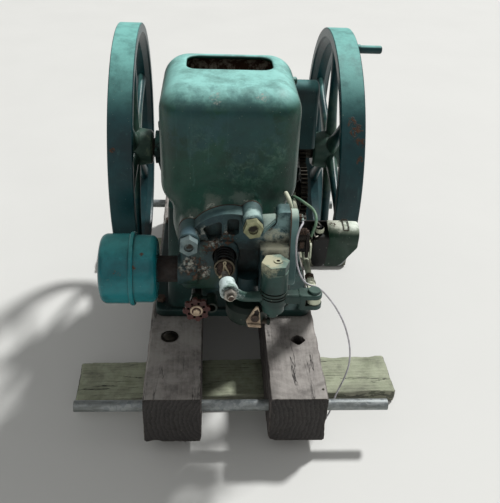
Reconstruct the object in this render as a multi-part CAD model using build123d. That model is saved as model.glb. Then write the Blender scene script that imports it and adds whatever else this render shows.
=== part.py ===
from build123d import *
from math import atan2, cos, degrees, pi, radians, sin, sqrt, tan
import os

os.makedirs("parts", exist_ok=True)

# Skid frame, origin on the ground, +Y runs back towards the crank
skid_front_y = -430.0
skid_length = 878.0
skid_width = 107.0
skid_height = 108.0
skid_gap = 122.4
board_length = 650.0
board_width = 112.0
board_thickness = 32.0
board_shift = 9.5
board_skew = 1.9
front_board_inset = 178.0
rear_board_inset = 196.0
pipe_radius = 10.65
pipe_wall = 2.8
pipe_length = 585.0
pipe_shift = 4.4
front_pipe_inset = 39.5
rear_pipe_inset = 57.5
pipe_height = 56.0
wood_clearance = 0.15
hole_inset = 167.0
hole_side = 13.0
hole_radius = 12.0

# Crankshaft and flywheels
crank_y = 61.0
crank_z = 407.0
shaft_radius = 19.0
crank_throw = 60.0
wheel_radius = 254.0
wheel_face = 45.5
wheel_inner_x = 188.7
rim_edge_depth = 18.0
rim_rib_depth = 30.0
rim_rib_width = 22.0
hub_radius = 37.0
hub_inner_x = 171.0
hub_outer_x = 241.0
key_width = 10.0
key_height = 5.0
key_reach = 14.0
spoke_count = 6
spoke_lean = 10.1
running_clearance = 0.05
press_clearance = 0.02
handle_radius = 7.8
handle_reach = 48.0
handle_angle = 13.4

# Cylinder, hopper and head
cylinder_x = -14.0
cylinder_z = 384.0
jacket_radius = 88.0
flange_radius = 79.5
neck_radius = 102.0
neck_rise = 16.0
bore_radius = 48.0
liner_wall = 9.0
gasket_y = -299.0
hopper_width = 244.0
hopper_depth = 254.0
hopper_x = -15.0
hopper_front_y = -251.0
hopper_top = 640.0
hopper_bottom = 410.0
hopper_corner = 50.0
hopper_crown = 45.0
hopper_wall = 8.0
slot_length = 154.0
slot_width = 79.0
slot_front_y = -121.0
head_depth = 31.0
stud_circle = 78.0
stud_angle = 63.0
stud_radius = 7.9
boss_radius = 18.0
low_boss_radius = 14.0
boss_length = 53.0
nut_flats = 28.6
nut_height = 14.0
cover_clearance = 0.3

# Bed
bed_left_x = -128.0
bed_right_x = 112.0
bed_front_y = -172.0
bed_back_y = 190.0
bed_flare = 7.0
foot_half_width = 160.0
foot_margin = 16.0
foot_thickness = 16.0
foot_bolt_flats = 16.0
foot_bolt_inset = 11.0
bearing_radius = 35.0
bearing_left_x = -165.5
bearing_right_x = 138.0
well_margin = 30.0
well_wall = 16.0
lip_height = 14.0

# Hood over the crank and the gears
hood_front_y = -25.0
hood_back_y = 213.0
hood_top = 592.0
hood_right_x = 165.5
hood_wall = 3.0
hood_skirt = 38.0

# Timing gears
gear_module = 3.0
pinion_teeth = 20
cam_teeth = 40
gear_face = 14.0
gear_x = 143.0
tooth_play = 0.12
cam_line_y = -43.0
cam_pin_radius = 9.0
cam_base = 20.0
cam_lift = 7.0

# Valve gear
valve_x = -24.0
valve_z = 384.0
valve_lift = 8.0
valve_radius = 17.0
stem_radius = 4.8
guide_radius = 26.0
spring_radius = 16.5
spring_wire = 2.0
spring_turns = 6
spring_back_y = -322.0
spring_front_y = -376.0
lash = 0.3
pivot_x = 59.0
pivot_y = -385.0
pivot_radius = 10.0
rocker_hub_radius = 23.5
rocker_height = 25.0
low_lug_height = 16.0
low_lug_radius = 19.0
arm_bottom_z = 326.8
arm_radius = 8.2
barrel_radius = 13.0
barrel_length = 26.0
barrel_reach = 20.0
screw_lean = 9.0
screw_dip = 8.0
screw_end = 13.36
screw_radius = 5.5
rod_x = 128.0
rod_z = 331.5
rod_radius = 5.5
clevis_radius = 13.5
clevis_length = 28.0
clevis_height = 29.0
clevis_gap = 12.4
clevis_pin_radius = 5.6

# Ignition lead and the loose wire
lead_radius = 2.5
wire_radius = 1.6
terminal_y = -306.0
terminal_z = 398.0
wire_stud_y = -318.0
wire_stud_z = 451.0

# Values worked out from the ones above
skid_back_y = skid_front_y + skid_length
beam_bottom = board_thickness
beam_top = beam_bottom + skid_height
beam_middle = skid_gap / 2 + skid_width / 2
pipe_z = beam_bottom + pipe_height
front_pipe_y = skid_front_y + front_pipe_inset
rear_pipe_y = skid_back_y - rear_pipe_inset
pinion_radius = gear_module * pinion_teeth / 2
cam_gear_radius = gear_module * cam_teeth / 2
gear_distance = pinion_radius + cam_gear_radius
cam_y = crank_y + cam_line_y
cam_z = crank_z - sqrt(gear_distance**2 - cam_line_y**2)
hopper_left = hopper_x - hopper_width / 2
hopper_right = hopper_x + hopper_width / 2
hopper_back_y = hopper_front_y + hopper_depth
head_front_y = gasket_y - head_depth
well_radius = crank_throw + well_margin
well_left = bed_left_x + well_wall
well_right = bed_right_x - well_wall
beyond = 500.0


def x_cylinder(radius, x0, x1, y, z):
    return Pos((x0 + x1) / 2, y, z) * Rot(0, 90, 0) * Cylinder(radius, x1 - x0)


def y_cylinder(radius, y0, y1, x, z):
    return Pos(x, (y0 + y1) / 2, z) * Rot(90, 0, 0) * Cylinder(radius, y1 - y0)


def z_cylinder(radius, z0, z1, x, y):
    return Pos(x, y, (z0 + z1) / 2) * Cylinder(radius, z1 - z0)


def block(x0, x1, y0, y1, z0, z1):
    centre = Pos((x0 + x1) / 2, (y0 + y1) / 2, (z0 + z1) / 2)
    return centre * Box(x1 - x0, y1 - y0, z1 - z0)


# A sketch drawn in world Y and Z, given a thickness along X
def x_plate(sketch, x0, x1):
    plane = Plane(origin=(x0, 0, 0), x_dir=(0, 1, 0), z_dir=(1, 0, 0))
    return extrude(plane * sketch, x1 - x0)


# A sketch drawn in world X and Z, given a thickness along Y
def y_plate(sketch, y0, y1):
    return extrude(Plane.XZ.offset(-y1) * sketch, y1 - y0)


def x_hexagon(flats, x0, x1, y, z, turn=0.0):
    return x_plate(Pos(y, z) * RegularPolygon(flats / sqrt(3), 6, rotation=turn), x0, x1)


def y_hexagon(flats, y0, y1, x, z, turn=0.0):
    return y_plate(Pos(x, z) * RegularPolygon(flats / sqrt(3), 6, rotation=turn), y0, y1)


def z_hexagon(flats, z0, z1, x, y, turn=0.0):
    sketch = RegularPolygon(flats / sqrt(3), 6, rotation=turn)
    return Pos(x, y, z0) * extrude(sketch, z1 - z0)


# Nut or bolt head with the corners of its outer face turned off
def crowned(nut, flats, axis):
    cap = nut.bounding_box()
    size = cap.max.Z - cap.min.Z if axis == "z" else cap.max.Y - cap.min.Y
    ball_radius = flats * 0.9
    drop = sqrt(ball_radius**2 - (flats / 2) ** 2)
    middle = cap.center()
    if axis == "z":
        return nut & Pos(middle.X, middle.Y, cap.max.Z - drop) * Sphere(ball_radius + size * 0.1)
    return nut & Pos(middle.X, cap.min.Y + drop, middle.Z) * Sphere(ball_radius + size * 0.1)


def save(shape, name):
    export_step(shape, "parts/" + name + ".step")


# Skid timbers with the cross pipe holes
def skid(side):
    x = side * beam_middle
    beam = block(x - skid_width / 2, x + skid_width / 2, skid_front_y, skid_back_y, beam_bottom, beam_top)
    beam = chamfer(beam.edges().filter_by(Axis.Y), 2.5)
    for y in (front_pipe_y, rear_pipe_y):
        hole = pipe_radius + wood_clearance
        beam -= x_cylinder(hole, x - skid_width, x + skid_width, y, pipe_z)
    return beam


# The old bolt hole in the right timber has worn to a ragged outline
worn = (1.06, 0.92, 1.04, 0.88, 1.0, 0.94, 1.1, 0.9)
turns = [2 * pi * n / len(worn) for n in range(len(worn))]
ragged = [(hole_radius * k * cos(a), hole_radius * k * sin(a)) for k, a in zip(worn, turns)]
hole_outline = make_face(Spline(*ragged, periodic=True))
old_hole = Pos(beam_middle + hole_side, skid_front_y + hole_inset, beam_bottom - 1) * extrude(hole_outline, skid_height + 2)
save(skid(-1), "skid_left")
save(skid(1) - old_hole, "skid_right")


# Boards under the timbers
def board(y, shift):
    plank = chamfer(Box(board_length, board_width, board_thickness).edges(), 2.0)
    return Pos(shift, y, board_thickness / 2) * Rot(0, 0, board_skew) * plank


save(board(skid_front_y + front_board_inset, board_shift), "cross_board_front")
save(board(skid_back_y - rear_board_inset, -board_shift), "cross_board_rear")


# Pipes through the timbers
def cross_pipe(y, shift):
    half = pipe_length / 2
    pipe = x_cylinder(pipe_radius, shift - half, shift + half, y, pipe_z - wood_clearance)
    inner = pipe_radius - pipe_wall
    bore = x_cylinder(inner, shift - half - 1, shift + half + 1, y, pipe_z - wood_clearance)
    return pipe - bore


save(cross_pipe(front_pipe_y, -pipe_shift), "cross_pipe_front")
save(cross_pipe(rear_pipe_y, pipe_shift), "cross_pipe_rear")

# Bed: foot, flared trunk, lip under the hood and bearing seats
foot_top = beam_top + foot_thickness
foot_front_y = bed_front_y - foot_margin
foot_back_y = bed_back_y + foot_margin
foot = block(-foot_half_width, foot_half_width, foot_front_y, foot_back_y, beam_top, foot_top)
foot = fillet(foot.edges().filter_by(Axis.Z), 20)
foot = fillet(foot.faces().sort_by(Axis.Z)[-1].edges(), 4)
trunk_middle = Pos((bed_left_x + bed_right_x) / 2, (bed_front_y + bed_back_y) / 2)
trunk_width = bed_right_x - bed_left_x
trunk_length = bed_back_y - bed_front_y
trunk_base = RectangleRounded(trunk_width + 2 * bed_flare, trunk_length + 2 * bed_flare, 20)
trunk_top = RectangleRounded(trunk_width, trunk_length, 14)
trunk = loft([trunk_middle * Pos(0, 0, beam_top + 2) * trunk_base, trunk_middle * Pos(0, 0, crank_z) * trunk_top])
bed = foot + trunk
lip = block(bed_left_x - 6, bed_right_x + 1, hood_front_y - 6, hood_back_y + 6, crank_z - lip_height, crank_z)
bed += fillet(lip.edges().filter_by(Axis.Z), 5)
bed += x_cylinder(bearing_radius, bearing_left_x, bed_left_x + 5, crank_y, crank_z)
bed += x_cylinder(bearing_radius, bed_right_x - 5, bearing_right_x, crank_y, crank_z)
gusset_reach = bed_left_x - bearing_left_x - 4
gusset_points = [(bed_left_x + 2, crank_z), (bed_left_x - gusset_reach, crank_z)]
gusset_points += [(bed_left_x - gusset_reach, crank_z - 30), (bed_left_x - 4, crank_z - 150), (bed_left_x + 2, crank_z - 150)]
bed += y_plate(make_face(Polyline(*gusset_points, close=True)), crank_y - 13, crank_y + 13)
bed -= block(-beyond, beyond, -beyond, beyond, crank_z, crank_z + beyond)
bed -= x_cylinder(well_radius, well_left, well_right, crank_y, crank_z)
bed -= x_cylinder(shaft_radius + running_clearance, -beyond, beyond, crank_y, crank_z)

# The cylinder end of the bed is a saddle for the water jacket
saddle_back_y = -80.0
bed -= y_cylinder(jacket_radius, -beyond, saddle_back_y, cylinder_x, cylinder_z)
bed -= block(bed_left_x - 20, bed_right_x + 20, -beyond, saddle_back_y, cylinder_z, crank_z + 10)
bed += x_cylinder(16, bed_right_x - 4, bed_right_x + 3, cam_y, cam_z)
bed += x_cylinder(cam_pin_radius, bed_right_x - 4, gear_x + gear_face + 3.5, cam_y, cam_z)
save(bed, "bed")

# Four bolts hold the foot to the timbers
bolts = []
for side in (-1, 1):
    for y in (foot_front_y + 34, foot_back_y - 34):
        x = side * (foot_half_width - foot_bolt_inset)
        bolts.append(z_hexagon(foot_bolt_flats, foot_top, foot_top + 9, x, y, 12 * side))
save(Compound(children=bolts), "hold_down_bolts")


# Main bearing caps with two bolts and an oil cup
def bearing_cap(x0, x1, ear):
    middle = (x0 + x1) / 2
    cap = x_cylinder(bearing_radius, x0, x1, crank_y, crank_z)
    cap += block(x0, x1, crank_y - ear, crank_y + ear, crank_z, crank_z + 13)
    cap -= block(x0 - 5, x1 + 5, crank_y - 90, crank_y + 90, crank_z - 60, crank_z)
    for side in (-1, 1):
        cap += z_hexagon(17, crank_z + 12, crank_z + 23, middle, crank_y + side * (ear - 8), 10)
    cup_z = crank_z + bearing_radius - 2
    cap += z_cylinder(5, cup_z, cup_z + 12, middle, crank_y)
    cap += z_hexagon(15, cup_z + 6, cup_z + 11, middle, crank_y)
    cup = z_cylinder(9.5, cup_z + 11, cup_z + 26, middle, crank_y)
    cap += fillet(cup.edges(), 2.5)
    cap -= x_cylinder(shaft_radius + running_clearance, x0 - 5, x1 + 5, crank_y, crank_z)
    return cap


cap_ear = bearing_radius + 17.0
save(bearing_cap(bearing_left_x, bed_left_x - 6.5, cap_ear), "bearing_cap_left")
save(bearing_cap(bed_right_x + 1.5, bearing_right_x, cap_ear), "bearing_cap_right")


# Pressed hood, open below, with a round outer edge
def hood_outline(inset):
    front = hood_front_y + inset
    back = hood_back_y - inset
    top = hood_top - inset
    corners = [(front, crank_z), (front, top), (back - 23, top - 77), (back, crank_z)]
    sketch = make_face(Polyline(*corners, close=True))
    high = sketch.vertices().sort_by(Axis.Y)[-1]
    sketch = fillet(high, 24 - inset)
    rear = sketch.vertices().sort_by(Axis.X)[-2]
    return fillet(rear, 50 - inset)


hood = x_plate(hood_outline(0), bed_left_x, hood_right_x)
outer_edges = hood.faces().sort_by(Axis.X)[-1].edges().filter_by(lambda e: e.center().Z > crank_z + 1)
hood = fillet(outer_edges, 9)
hood -= x_plate(hood_outline(hood_wall), bed_left_x + hood_wall, hood_right_x - hood_wall)
hood -= block(-beyond, beyond, -beyond, beyond, crank_z - 50, crank_z + 0.01)
hood -= block(bed_right_x + 1.2, beyond, -beyond, beyond, crank_z - 50, crank_z + hood_skirt)
hood -= block(-beyond, hopper_right + cover_clearance, -beyond, hopper_back_y + cover_clearance, 0, 900)
hood -= x_cylinder(shaft_radius + 5.5, bed_left_x - 5, bed_left_x + hood_wall + 5, crank_y, crank_z)
save(hood, "crank_hood")

# Crankshaft with its webs and pin, and a gib key at each wheel
web_thickness = 22.0
crankpin_x = (well_left + well_right) / 2
crankpin_half = 26.0
crankshaft = x_cylinder(shaft_radius, -hub_outer_x - 3, hub_outer_x + 3, crank_y, crank_z)
crankshaft = chamfer(crankshaft.edges().filter_by(GeomType.CIRCLE), 1.2)
for side in (-1, 1):
    x0 = crankpin_x + side * (crankpin_half + web_thickness / 2)
    web = Pos(x0, crank_y - crank_throw / 2, crank_z) * Box(web_thickness, crank_throw + 44, 44)
    crankshaft += fillet(web.edges().filter_by(Axis.X), 14)
gap_left = crankpin_x - crankpin_half
gap_right = crankpin_x + crankpin_half
crankshaft -= x_cylinder(shaft_radius + 6, gap_left, gap_right, crank_y, crank_z)
crankshaft += x_cylinder(shaft_radius - 1, gap_left - 2, gap_right + 2, crank_y - crank_throw, crank_z)
for side in (-1, 1):
    inner_end = side * (hub_inner_x + 12)
    outer_end = side * (hub_outer_x + key_reach)
    low, high = sorted((inner_end, outer_end))
    key_z = crank_z + shaft_radius
    crankshaft += block(low, high, crank_y - key_width / 2, crank_y + key_width / 2, key_z - 4, key_z + key_height)
save(crankshaft, "crankshaft")


# Flywheel: turned rim with an inner rib, six oval spokes that flare, tapered hub
def flywheel(side):
    inner_x = wheel_inner_x
    outer_x = wheel_inner_x + wheel_face
    middle = (inner_x + outer_x) / 2
    edge = wheel_radius - rim_edge_depth
    rib = wheel_radius - rim_rib_depth
    half = rim_rib_width / 2
    rim_points = [(inner_x, edge), (inner_x, wheel_radius - 1.5), (inner_x + 1.5, wheel_radius)]
    rim_points += [(outer_x - 1.5, wheel_radius), (outer_x, wheel_radius - 1.5), (outer_x, edge)]
    rim_points += [(outer_x - 4, edge - 2), (middle + half, rib + 2), (middle + half - 2, rib)]
    rim_points += [(middle - half + 2, rib), (middle - half, rib + 2), (inner_x + 4, edge - 2)]
    hub_points = [(hub_inner_x, 0), (hub_inner_x, hub_radius - 5), (hub_inner_x + 4, hub_radius - 1)]
    hub_points += [(middle - 14, hub_radius + 3), (middle + 14, hub_radius + 3)]
    hub_points += [(hub_outer_x - 4, hub_radius - 1), (hub_outer_x, hub_radius - 5), (hub_outer_x, 0)]
    wheel = revolve(Plane.XY * make_face(Polyline(*rim_points, close=True)), Axis.X, 360)
    wheel += revolve(Plane.XY * make_face(Polyline(*hub_points, close=True)), Axis.X, 360)
    sections = ((hub_radius - 12, 21, 13), (hub_radius + 28, 16, 11), (rib - 28, 13.5, 9.5), (rib + 4, 19, 11))
    for n in range(spoke_count):
        lean = n * 360.0 / spoke_count - spoke_lean
        ovals = [Pos(middle, 0, r) * Rot(0, 0, 90) * Ellipse(wide, thick) for r, wide, thick in sections]
        wheel += Rot(lean, 0, 0) * loft(ovals)
    wheel -= x_cylinder(shaft_radius + press_clearance, hub_inner_x - 5, hub_outer_x + 5, 0, 0)
    slot = key_width / 2 + 0.1
    wheel -= block(hub_inner_x - 5, hub_outer_x + 5, -slot, slot, 0, shaft_radius + key_height + 0.1)
    if side < 0:
        wheel = mirror(wheel, about=Plane.YZ)
    return Pos(0, crank_y, crank_z) * wheel


save(flywheel(-1), "flywheel_left")
save(flywheel(1), "flywheel_right")

# Starting handle screwed in the rim of the right flywheel
handle_orbit = wheel_radius - rim_edge_depth / 2 - 2
handle_y = crank_y - handle_orbit * sin(radians(handle_angle))
handle_z = crank_z + handle_orbit * cos(radians(handle_angle))
handle_x = wheel_inner_x + wheel_face
handle = x_cylinder(handle_radius, handle_x, handle_x + handle_reach, handle_y, handle_z)
handle = fillet(handle.edges().sort_by(Axis.X)[-1], 4)
handle += x_cylinder(handle_radius + 1.6, handle_x, handle_x + 5, handle_y, handle_z)
save(handle, "crank_handle")


# Spur gear outline with involute flanks
def involute(base, radius):
    roll = sqrt(max((radius / base) ** 2 - 1, 0))
    return roll - atan2(roll, 1)


def gear_sketch(teeth, play):
    pitch = gear_module * teeth / 2
    base = pitch * cos(radians(20))
    outer = pitch + gear_module
    root = pitch - 1.25 * gear_module
    half_tooth = pi / (2 * teeth) - play / pitch
    points = []
    for n in range(teeth):
        middle = 2 * pi * n / teeth
        low = max(base, root)
        radii = [low + (outer - low) * k / 3 for k in range(4)]
        flank = [(r, half_tooth + involute(base, pitch) - involute(base, r)) for r in radii]
        side = [(root, flank[0][1])] + flank if root < base else flank
        for r, a in side:
            points.append((r * cos(middle - a), r * sin(middle - a)))
        for r, a in reversed(side):
            points.append((r * cos(middle + a), r * sin(middle + a)))
    return make_face(Polyline(*points, close=True))


# The sketch is turned so that its own X axis points along world +Y
def x_gear(teeth, y, z, turn):
    return x_plate(Pos(y, z) * Rot(0, 0, turn) * gear_sketch(teeth, tooth_play), gear_x, gear_x + gear_face)


line_angle = degrees(atan2(cam_z - crank_z, cam_y - crank_y))
pinion = x_gear(pinion_teeth, crank_y, crank_z, line_angle)
pinion -= x_cylinder(shaft_radius + press_clearance, gear_x - 5, gear_x + gear_face + 5, crank_y, crank_z)
save(pinion, "crank_gear")

cam_hub_radius = 19.0
cam_turn = line_angle + 180 + 180.0 / cam_teeth
cam_gear = x_gear(cam_teeth, cam_y, cam_z, cam_turn)
web_outer = cam_gear_radius - 9.0
for face_x in (gear_x - 1, gear_x + gear_face - 3.5):
    groove = x_cylinder(web_outer, face_x, face_x + 4.5, cam_y, cam_z)
    cam_gear -= groove - x_cylinder(cam_hub_radius + 3, face_x - 1, face_x + 6, cam_y, cam_z)
for n in range(5):
    angle = 2 * pi * n / 5 + 0.3
    hole_y = cam_y + (web_outer + cam_hub_radius) / 2 * cos(angle)
    hole_z = cam_z + (web_outer + cam_hub_radius) / 2 * sin(angle)
    cam_gear -= x_cylinder(8.5, gear_x - 5, gear_x + gear_face + 5, hole_y, hole_z)
cam_x0 = rod_x - 6.0
cam_x1 = rod_x + 6.0
cam_gear += x_cylinder(cam_hub_radius, cam_x1 + 0.3, gear_x + gear_face + 2, cam_y, cam_z)
cam_bore = cam_pin_radius + running_clearance
save(cam_gear - x_cylinder(cam_bore, 0, beyond, cam_y, cam_z), "cam_gear")

# Cam between the gear hub and the bed, its lobe turned back from the rod
lobe_radius = 9.0
lobe_offset = cam_base + cam_lift - lobe_radius
base_circle = Pos(cam_y, cam_z) * Circle(cam_base)
lobe_circle = Pos(cam_y + lobe_offset, cam_z) * Circle(lobe_radius)
cam_outline = make_hull(base_circle.edges() + lobe_circle.edges())
cam = x_plate(cam_outline, cam_x0, cam_x1)
save(cam - x_cylinder(cam_bore, 0, beyond, cam_y, cam_z), "cam")

# Push rod from the cam forward to the rocker, clear of the lobe all round
rod_back_y = cam_y - cam_base - cam_lift - 0.5
eye_back_y = pivot_y + 38.0
rod = y_cylinder(rod_radius, eye_back_y - 4, rod_back_y - 10, rod_x, rod_z)
shoe = block(rod_x - 6, rod_x + 6, rod_back_y - 24, rod_back_y, rod_z - 8, rod_z + 8)
rod += fillet(shoe.edges().filter_by(Axis.Y), 2)
rod += y_hexagon(16, eye_back_y + 4, eye_back_y + 13, rod_x, rod_z, 8)
rod += y_cylinder(7.6, eye_back_y - 1, eye_back_y + 4, rod_x, rod_z)
eye_half = clevis_gap / 2 - 0.5
eye = z_cylinder(clevis_radius - 1.5, rod_z - eye_half, rod_z + eye_half, rod_x, pivot_y)
eye += block(rod_x - 7, rod_x + 7, pivot_y, eye_back_y, rod_z - eye_half, rod_z + eye_half)
rod += eye
rod -= z_cylinder(clevis_pin_radius + 0.9, rod_z - 20, rod_z + 20, rod_x, pivot_y)
save(rod, "push_rod")

# Guide for the push rod on the side of the bed
guide_y0 = -146.0
guide_y1 = -120.0
guide = y_cylinder(rod_radius + 8, guide_y0, guide_y1, rod_x, rod_z)
guide += block(bed_right_x + 4, rod_x, guide_y0 + 4, guide_y1 - 4, rod_z - 11, rod_z + 11)
guide += block(bed_right_x - 1, bed_right_x + 6, guide_y0 - 14, guide_y1 + 14, rod_z - 15, rod_z + 15)
guide -= y_cylinder(rod_radius + 0.08, guide_y0 - 30, guide_y1 + 30, rod_x, rod_z)
guide -= bed
save(guide, "push_rod_guide")

# Hopper and cylinder in one casting
drain_x = -71.0
drain_y = -282.0
drain_z = 295.0
tank = block(hopper_left, hopper_right, hopper_front_y, hopper_back_y, hopper_bottom, hopper_top)
tank = fillet(tank.edges().filter_by(Axis.Z), hopper_corner)
tank = fillet(tank.faces().sort_by(Axis.Z)[-1].edges(), hopper_crown)
tank = fillet(tank.faces().sort_by(Axis.Z)[0].edges(), hopper_corner - 2)
studs = []
for n in range(4):
    angle = radians(stud_angle + 90 * n)
    studs.append((cylinder_x + stud_circle * cos(angle), cylinder_z + stud_circle * sin(angle)))
stud_sizes = (boss_radius, boss_radius, low_boss_radius, low_boss_radius)
flange_outline = Pos(cylinder_x, cylinder_z) * Circle(flange_radius)
for (x, z), size in zip(studs, stud_sizes):
    flange_outline += Pos(x, z) * Circle(size)
barrel = y_cylinder(jacket_radius, hopper_front_y + 8, saddle_back_y, cylinder_x, cylinder_z)
front_ring = Plane.XZ.offset(-(gasket_y + 6)) * Pos(cylinder_x, cylinder_z) * Circle(flange_radius)
middle_ring = Plane.XZ.offset(-(hopper_front_y + 13)) * Pos(cylinder_x, cylinder_z + neck_rise) * Circle(neck_radius)
rear_ring = Plane.XZ.offset(-(bed_front_y - 6)) * Pos(cylinder_x, cylinder_z) * Circle(jacket_radius - 0.1)
barrel += loft([front_ring, middle_ring, rear_ring])
barrel += y_plate(flange_outline, gasket_y, gasket_y + 13)
for (x, z), size in zip(studs, stud_sizes):
    barrel += y_cylinder(size, gasket_y, hopper_front_y + 20, x, z)
neck_half = jacket_radius + 2
barrel += block(cylinder_x - neck_half, cylinder_x + neck_half, hopper_front_y + 30, saddle_back_y, cylinder_z, hopper_bottom + 30)
hopper = tank + barrel
sill_front_y = saddle_back_y - 2
hopper += block(bed_left_x + 10, bed_right_x - 10, sill_front_y, hopper_back_y - 12, crank_z, hopper_bottom + 30)
hopper += z_cylinder(15, drain_z + 10, drain_z + 35, drain_x, drain_y)
plug_y = -30.0
plug_z = hopper_top - 50.0
plug = x_cylinder(8.0, hopper_right - 4, hopper_right + 11, plug_y, plug_z)
hopper += fillet(plug.edges().sort_by(Axis.X)[-1], 3)
inner_tank = block(
    hopper_left + hopper_wall,
    hopper_right - hopper_wall,
    hopper_front_y + hopper_wall,
    hopper_back_y - hopper_wall,
    hopper_bottom + hopper_wall,
    hopper_top - hopper_wall,
)
inner_tank = fillet(inner_tank.edges(), hopper_crown - hopper_wall)
liner = y_cylinder(bore_radius + liner_wall, gasket_y - 5, 50, cylinder_x, cylinder_z)
well_cover = x_cylinder(well_radius + hopper_wall, -200, 200, crank_y, crank_z)
hopper -= inner_tank - liner - well_cover
hopper -= x_cylinder(well_radius, well_left, well_right, crank_y, crank_z)
slot_x0 = hopper_x - slot_length / 2
slot_back_y = slot_front_y + slot_width
slot = block(slot_x0, slot_x0 + slot_length, slot_front_y, slot_back_y, hopper_top - 40, hopper_top + 10)
hopper -= fillet(slot.edges().filter_by(Axis.Z), 22)
hopper -= y_cylinder(bore_radius, gasket_y - 5, -100, cylinder_x, cylinder_z)
save(hopper, "hopper")

# Head: flange with pockets beside a rib, valve dome, exhaust body, chest and bosses
muffler_y = -318.0
muffler_z = 346.0
nipple_radius = 23.0
nipple_x = -104.0
mixer_x = 18.0
mixer_y = -350.0
intake_y = -322.0
intake_z = 297.0
chest_left_x = 36.0
chest_right_x = 85.0
chest_front_y = -350.0
chest_top_z = 410.0
tower_left_x = 63.0
tower_top_z = 467.0
head = y_plate(flange_outline, head_front_y, gasket_y)
pocket_y = head_front_y + 17
rib_x = -24.0
right_pocket = block(rib_x + 4, 0, head_front_y - 5, pocket_y, cylinder_z + 39, cylinder_z + 70)
head -= fillet(right_pocket.edges().filter_by(Axis.Y), 6)
left_points = [(-62, cylinder_z + 52), (rib_x - 5, cylinder_z + 66), (rib_x - 5, cylinder_z + 30), (-50, cylinder_z + 26)]
left_pocket = y_plate(make_face(Polyline(*left_points, close=True)), head_front_y - 5, pocket_y)
head -= fillet(left_pocket.edges().filter_by(Axis.Y), 5)
low_pocket = block(-4, chest_left_x + 6, head_front_y - 5, pocket_y, cylinder_z - 52, cylinder_z + 12)
head -= fillet(low_pocket.edges().filter_by(Axis.Y), 8)
exhaust_body = block(-99, 0, head_front_y - 6, gasket_y, cylinder_z - 70, cylinder_z + 28)
exhaust_body = fillet(exhaust_body.edges().filter_by(Axis.Y), 16)
head += fillet(exhaust_body.faces().sort_by(Axis.Y)[0].edges(), 5)
dome = y_cylinder(guide_radius, head_front_y - 5, gasket_y - 4, valve_x, valve_z)
head += fillet(dome.edges().sort_by(Axis.Y)[0], 3)
chest = block(chest_left_x, chest_right_x, chest_front_y, gasket_y, cylinder_z - 64, chest_top_z)
chest = fillet(chest.faces().sort_by(Axis.Y)[0].edges(), 4)
upper = block(chest_left_x - 8, chest_right_x, head_front_y, gasket_y, chest_top_z - 10, tower_top_z)
step_z = tower_top_z - 29
cut = block(chest_left_x - 60, tower_left_x, -beyond, 0, step_z, tower_top_z + 20)
upper -= fillet(cut.edges().filter_by(Axis.Y).sort_by(Axis.Z)[:2].sort_by(Axis.X)[-1:], 13)
upper_right = upper.edges().filter_by(Axis.Y).sort_by(Axis.Z)[-1]
head += chest + fillet(upper_right, 9)
nipple_boss = x_cylinder(nipple_radius + 4, nipple_x, -70, muffler_y, muffler_z)
head += nipple_boss
head += z_cylinder(21, intake_z, cylinder_z - 44, mixer_x, intake_y)
head -= block(-beyond, beyond, gasket_y, gasket_y + 100, 0, 900)
for x, z in studs[:2]:
    boss = y_cylinder(boss_radius, gasket_y - boss_length, gasket_y, x, z)
    head += chamfer(boss.edges().sort_by(Axis.Y)[0], 2)
spring_seat_y = spring_back_y + valve_lift + 1
head -= y_cylinder(spring_radius + 4, head_front_y - 40, spring_seat_y, valve_x, valve_z)
head -= y_cylinder(stem_radius + 0.06, gasket_y - 200, gasket_y + 5, valve_x, valve_z)
head -= y_cylinder(valve_radius + 0.3, gasket_y - 5, gasket_y + 5, valve_x, valve_z)
for x, z in studs[:2]:
    head -= y_cylinder(stud_radius + 0.4, gasket_y - 80, gasket_y + 5, x, z)
save(head, "cylinder_head")

# Head studs with their nuts
for n in range(2):
    x, z = studs[n]
    face = gasket_y - boss_length
    nut = y_hexagon(nut_flats, face - nut_height, face, x, z, 12 + 14 * n)
    nut = crowned(nut, nut_flats, "y")
    nut -= y_cylinder(stud_radius, face - nut_height - 5, face - nut_height + 3, x, z)
    nut += y_cylinder(stud_radius, face - nut_height + 3, gasket_y, x, z)
    save(nut, "head_stud_" + ("right", "left")[n])

# Exhaust valve: head in its seat, stem, spring plate and cotter
stem_end_y = spring_front_y - 7.0
valve = y_cylinder(stem_radius, stem_end_y, gasket_y - 2, valve_x, valve_z)
valve += y_cylinder(valve_radius, gasket_y - 4.5, gasket_y - 0.5, valve_x, valve_z)
plate_disc = y_cylinder(spring_radius + 0.5, spring_front_y - 2.5, spring_front_y, valve_x, valve_z)
valve += fillet(plate_disc.edges().sort_by(Axis.Y)[0], 1.2)
valve += block(valve_x - 9, valve_x + 9, spring_front_y - 5.5, spring_front_y - 2.5, valve_z - 1.6, valve_z + 1.6)
save(valve, "exhaust_valve")

# Valve spring
coil_height = spring_back_y - spring_front_y - 2 * spring_wire
helix = Helix(coil_height / spring_turns, coil_height, spring_radius)
start = helix @ 0
wire = Plane(origin=start, z_dir=helix % 0) * Circle(spring_wire)
spring = sweep(wire, path=helix, is_frenet=True)
spring = Pos(valve_x, spring_back_y - spring_wire, valve_z) * Rot(90, 0, 0) * spring
save(spring, "valve_spring")

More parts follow.
